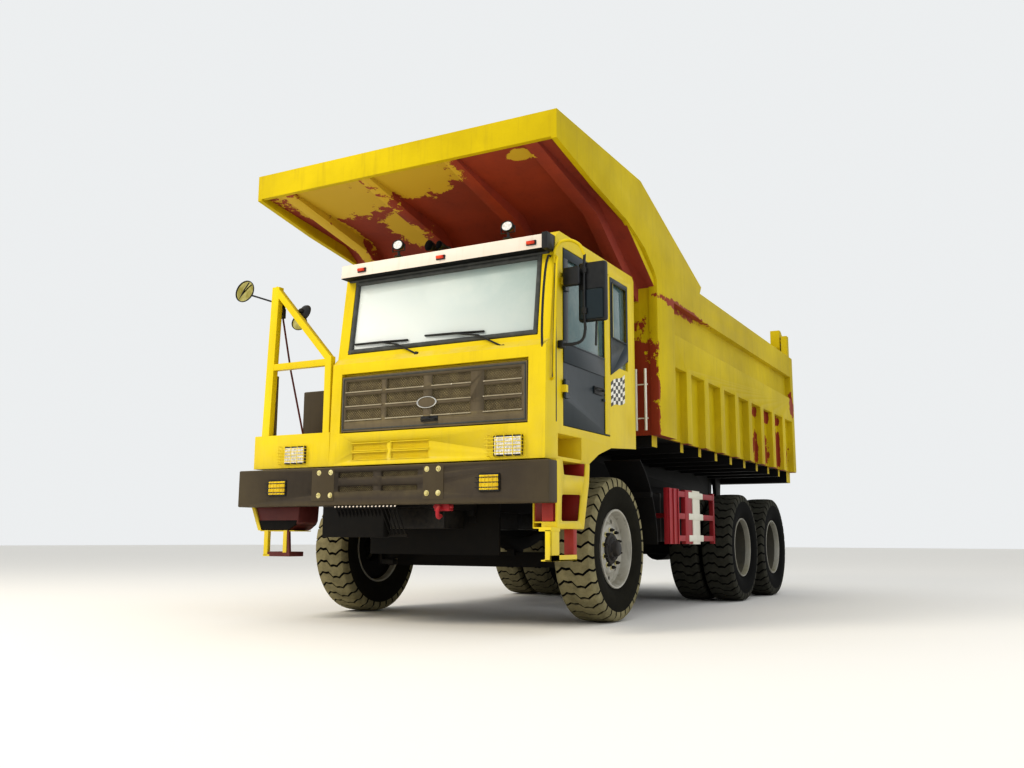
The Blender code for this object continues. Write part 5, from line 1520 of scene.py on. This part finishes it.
roundMirrors = [
    ((-1.800, -4.100, 3.115), (0.05, -1, 0.15), 0.112), ((-1.020, -4.120, 2.812), (0.15, 1, -0.30), 0.080),
    ((-1.085, -4.105, 2.725), (0.30, -1, 0.20), 0.076)
]
backs, faces = [], []
for spot, aim, size in roundMirrors:
    dish = [
        (0.0, -0.030), (size * 0.55, -0.026), (size * 0.9, -0.012), (size, 0.0), (size * 1.01, 0.008),
        (size * 0.94, 0.009), (size * 0.93, 0.003)
    ]
    backs.append(makeTurned("dish", dish, spot, aim, steps=36))
    faces.append(
        makeTurned(
            "face", [(0.0, 0.0125), (size * 0.5, 0.010), (size * 0.94, 0.003), (size * 0.94, 0.0), (0.0, 0.0)],
            spot, aim, steps=36
        )
    )
    backs.append(
        makeTurned(
            "yoke", [(0.0, -0.060), (0.016, -0.058), (0.022, -0.036), (0.020, -0.026), (0.0, -0.026)], spot,
            aim, steps=16
        )
    )
stem = [
    makeTube(
        "rod",
        [
            (-1.775, -4.080, 3.085), (-1.700, -4.100, 3.062), (-1.310, -4.120, 2.925), (-1.150, -4.120, 2.870),
            (-1.030, -4.110, 2.800)
        ],
        0.0085, smooth=False
    ),
    makeBox("clamp", (-1.350, -4.158, 2.870), (-1.262, -4.105, 2.985), 0.008),
    makeBox("clamp", (-1.300, -4.150, 2.780), (-1.250, -4.110, 2.875), 0.006),
    makeTube("diagonal", [(-1.862, -4.112, 3.035), (-1.800, -4.120, 3.115), (-1.740, -4.112, 3.195)], 0.006),
]
fit("look_right_mirrors", backs + stem, blackPlastic, "chassis", "dark_plastic", ("right_mirrors",))
goldMirror = plainMaterial(
    "bronze_tinted_mirror_glass",
    {"dark": "#A89A4A", "light": "#D8CC86", "rough": 0.12, "metal": 1.0, "bump": 0.02}
)
fit("right_mirror_glass", faces, goldMirror, "chassis", "bright_steel")
brace = [
    makeTube(
        "brace", [(-1.300, -4.120, 2.880), (-1.262, -4.000, 2.300), (-1.190, -3.860, 1.660)], 0.009,
        smooth=False
    ),
    makeBox("foot", (-1.225, -3.890, 1.656), (-1.155, -3.830, 1.666), 0.002),
]
fit("mirror_frame_brace", brace, maroonPaint, "chassis", "red_paint")
print("mirrors made")

# side guards: red frame, white upright with sleeves along the rails
for side, word in ((1, "left"), (-1, "right")):
    repaint(word + "_side_guard", (redPaint, whitePaint), lambda c, n: 1 if -0.505 < c.y < -0.245 else 0)
    x0, x1 = sorted((side * 1.502, side * 1.512))
    ribs = [makeBox("fold", (x0, y, 0.690), (x1, y + 0.030, 1.270), 0.004) for y in (-1.285, -1.150, -1.010)]
    fit(word + "_guard_folds", ribs, redPaint, "chassis", "red_paint")
    x0, x1 = sorted((side * 1.446, side * 1.506))
    sleeves = [
        makeBox("sleeve", (x0, -0.640, z - 0.036), (x1, -0.140, z + 0.036), 0.010)
        for z in (0.750, 0.985, 1.220)
    ]
    fit(word + "_guard_sleeves", sleeves, whitePaint, "chassis", "cream_paint")
print("guards painted")


# driver's seat: stuffed pads with sewn channels on a steel pedestal
seatLook = {"inset": 0.006, "crown": 0.026, "channel": 0.007, "pitch": 0.072, "pinch": 0.014}


def makePad(name, low, high, crownAxis, channels):
    # box cut into a grid, domed over its big faces, pulled in at its sides, with sewn grooves across
    clearSelection()
    bpy.ops.mesh.primitive_cube_add(size=2)
    pad = bpy.context.object
    pad.name = name
    centre = [(a + b) / 2 for a, b in zip(low, high)]
    half = [(b - a) / 2 - seatLook["inset"] for a, b in zip(low, high)]
    enterEdit()
    bpy.ops.mesh.subdivide(number_cuts=31)
    leaveEdit()
    flat = [k for k in range(3) if k != crownAxis]
    for vertex in pad.data.vertices:
        u = list(vertex.co)
        across, along = u[flat[0]], u[flat[1]]
        dome = (1 - across ** 4) * (1 - along ** 4)
        edgeIn = 1 - 0.22 * (abs(across * along) ** 6)
        thick = (0.70 + 0.30 * dome) * edgeIn
        groove = 0.0
        if channels and abs(across) < 0.93:
            groove = seatLook["channel"] * math.exp(
                -((math.sin(along * half[flat[1]] * math.pi / seatLook["pitch"]) / 0.16) ** 2)
            )
        pull = seatLook["pinch"] * (1 - u[crownAxis] ** 2)  # sides bulge out between their corners
        spot = [0.0, 0.0, 0.0]
        spot[crownAxis] = centre[crownAxis] + u[crownAxis] * (
            half[crownAxis] * thick - groove * (abs(u[crownAxis]) > 0.99)
        )
        for k in flat:
            reach = half[k] - seatLook["pinch"] + (pull * 0.9 if abs(u[k]) > 0.99 else 0.0)
            bend = 1 - 0.035 * (u[flat[1] if k == flat[0] else flat[0]] ** 6)
            spot[k] = centre[k] + u[k] * reach * bend
        vertex.co = spot
    tidyMesh(pad, 180, 0.0002)
    applyModifier(pad, "SMOOTH", factor=0.5, iterations=3)
    applyModifier(pad, "SUBSURF", levels=1, render_levels=1)
    return pad


pads = [
    # name, low corner, high corner, crowned axis, sewn channels, stands for, fill
    ("seat_cushion", (0.725, -3.198, 1.925), (1.175, -2.770, 2.062), 2, True, ("driver_seat",), 0.8),
    ("seat_back", (0.732, -2.798, 2.050), (1.168, -2.672, 2.560), 1, True, (), 0.8),
    ("seat_headrest", (0.830, -2.780, 2.570), (1.070, -2.680, 2.668), 1, False, (), 0.85),
]
for name, low, high, crownAxis, channels, stands, fill in pads:
    pad = paint(makePad(name, low, high, crownAxis, channels), vinyl)
    place(pad, "chassis", "seat_vinyl", stands)
piping = [
    makeTube(
        "piping",
        [
            (0.745, -3.178, 1.994), (1.155, -3.178, 1.994), (1.155, -2.790, 1.994), (0.745, -2.790, 1.994),
            (0.745, -3.178, 1.994)
        ],
        0.004, smooth=False
    ),
    makeTube(
        "piping",
        [
            (0.750, -2.735, 2.066), (0.750, -2.735, 2.545), (1.150, -2.735, 2.545), (1.150, -2.735, 2.066),
            (0.750, -2.735, 2.066)
        ],
        0.004, smooth=False
    ),
]
fit("seat_piping", piping, blackPlastic, "chassis", "dark_plastic")
pedestal = [
    makeBox("floorPlate", (0.740, -3.180, 1.622), (1.160, -2.720, 1.640), 0.004),
    makeBox("slide", (0.765, -3.170, 1.640), (0.805, -2.740, 1.680), 0.005),
    makeBox("slide", (1.095, -3.170, 1.640), (1.135, -2.740, 1.680), 0.005),
    makeBox("bellows", (0.790, -3.120, 1.680), (1.110, -2.760, 1.880), 0.020),
    makeBox("pan", (0.735, -3.185, 1.885), (1.165, -2.735, 1.928), 0.010),
    makeBox("backShell", (0.745, -2.684, 1.900), (1.155, -2.664, 2.540), 0.008),
    makeRod("post", (0.900, -2.735, 2.540), (0.900, -2.735, 2.590), 0.007, 12),
    makeRod("post", (1.000, -2.735, 2.540), (1.000, -2.735, 2.590), 0.007, 12),
    makeTube("lever", [(1.165, -3.05, 1.905), (1.176, -3.10, 1.905), (1.176, -3.16, 1.925)], 0.006),
]
for z in (1.715, 1.755, 1.795, 1.835):
    pedestal.append(makeBox("pleat", (0.780, -3.130, z), (1.120, -2.750, z + 0.018), 0.008))
fit("seat_pedestal", pedestal, mattePlastic, "chassis", "dark_plastic")
print("seat made")

# details behind the cab, on the flanks and at the tail
pipes = [makeRod("pipe", (x, -1.945, 1.800), (x, -1.945, 2.420), 0.014, 16) for x in (1.420, 1.520)]
pipes += [makeRod("clip", (1.395, -1.945, z), (1.545, -1.945, z), 0.007, 8) for z in (1.92, 2.26)]
fit("body_front_pipes", pipes, whitePaint, "dump_body", "cream_paint")
cap = makeBox("cap", (1.490, -4.166, 3.060), (1.546, -4.018, 3.202), 0.010)
fit("visor_end_cap", [cap], blackPlastic, "chassis", "dark_plastic")
tankBands = []
for y in (-1.02, -0.48, 0.06):
    tankBands.append(makeBox("band", (0.462, y, 0.712), (1.308, y + 0.045, 1.228), 0.010))
bandCutter = makeBox("inner", (0.472, -1.3, 0.722), (1.298, 0.4, 1.218), 0.001)
bands = cutBy(mergePieces("tank_bands", tankBands), [bandCutter])
place(paint(bands, castSteel), "chassis", "bright_steel")
tankCap = [
    makeTurned(
        "cap", [(0.0, 0.040), (0.038, 0.038), (0.046, 0.030), (0.046, 0.004), (0.052, 0.0), (0.0, 0.0)],
        (1.140, -0.250, 1.219), (0, 0, 1), steps=32
    )
]
tankCap.append(makeBox("tab", (1.118, -0.262, 1.255), (1.162, -0.238, 1.268), 0.003))
fit("tank_filler_cap", tankCap, zincBolt, "chassis", "bright_steel")
tailLamps, tailHousings = [], [makeBox("lampBar", (-0.800, 3.6005, 1.045), (0.800, 3.625, 1.165), 0.005)]
for side in (-1, 1):
    x0, x1 = sorted((side * 0.500, side * 0.790))
    tailHousings.append(makeBox("housing", (x0, 3.622, 1.052), (x1, 3.648, 1.158), 0.008))
    tailHousings.append(makeBox("shield", (x0, 3.622, 1.154), (x1, 3.672, 1.160), 0.002))
    for k in range(3):
        cx = x0 + 0.052 + 0.093 * k
        tailLamps.append(
            makeTurned(
                "lens", [(0.0, 0.014), (0.020, 0.012), (0.034, 0.006), (0.036, 0.0), (0.0, 0.0)],
                (cx, 3.6475, 1.103), (0, 1, 0), steps=28
            )
        )
fit("tail_lamp_housings", tailHousings, blackPlastic, "chassis", "dark_plastic")
fit("tail_lamp_lenses", tailLamps, redLens, "chassis", "red_paint")
guardPlate = makePlate(
    "sumpGuard", [(-0.700, 0.590), (0.700, 0.590), (0.700, 1.040), (-0.700, 1.040)], 1, -3.430, -3.400, 0.004
)
fit("sump_guard", [guardPlate], blackPaint, "chassis", "black_paint")
print("details made")


strip = makePlate(
    "strip", [(-4.098, 1.99), (-4.072, 1.99), (-4.010, 3.02), (-4.036, 3.02)], 0, 1.549, 1.5545, 0.002
)
fit("corner_strip", [strip], rubberSeal, "chassis", "dark_plastic")
# a dark olive plate beside the mirror post: painted shade on the post's shaded side
channel = makeBox("channel", (-1.405, -4.120, 1.640), (-1.320, -4.090, 2.235), 0.004)
fit("mirror_post_painted_shade", [channel], panelPaint, "chassis", "dark_grey_paint")

# a black strip on the cab front under the visor: painted shade where the visor's shadow falls
underVisor = makeBox("underVisor", (-0.545, -4.064, 3.050), (1.505, -4.022, 3.088), 0.006)
fit("visor_painted_shade_strip", [underVisor], rubberSeal, "chassis", "dark_plastic")
frontRail = makeTube(
    "frontRail",
    [(1.515, -4.140, 2.190), (1.515, -4.186, 2.215), (1.515, -4.090, 3.010), (1.515, -4.030, 3.025)], 0.010
)
fit("cab_front_rail", [frontRail], blackPlastic, "chassis", "dark_plastic")
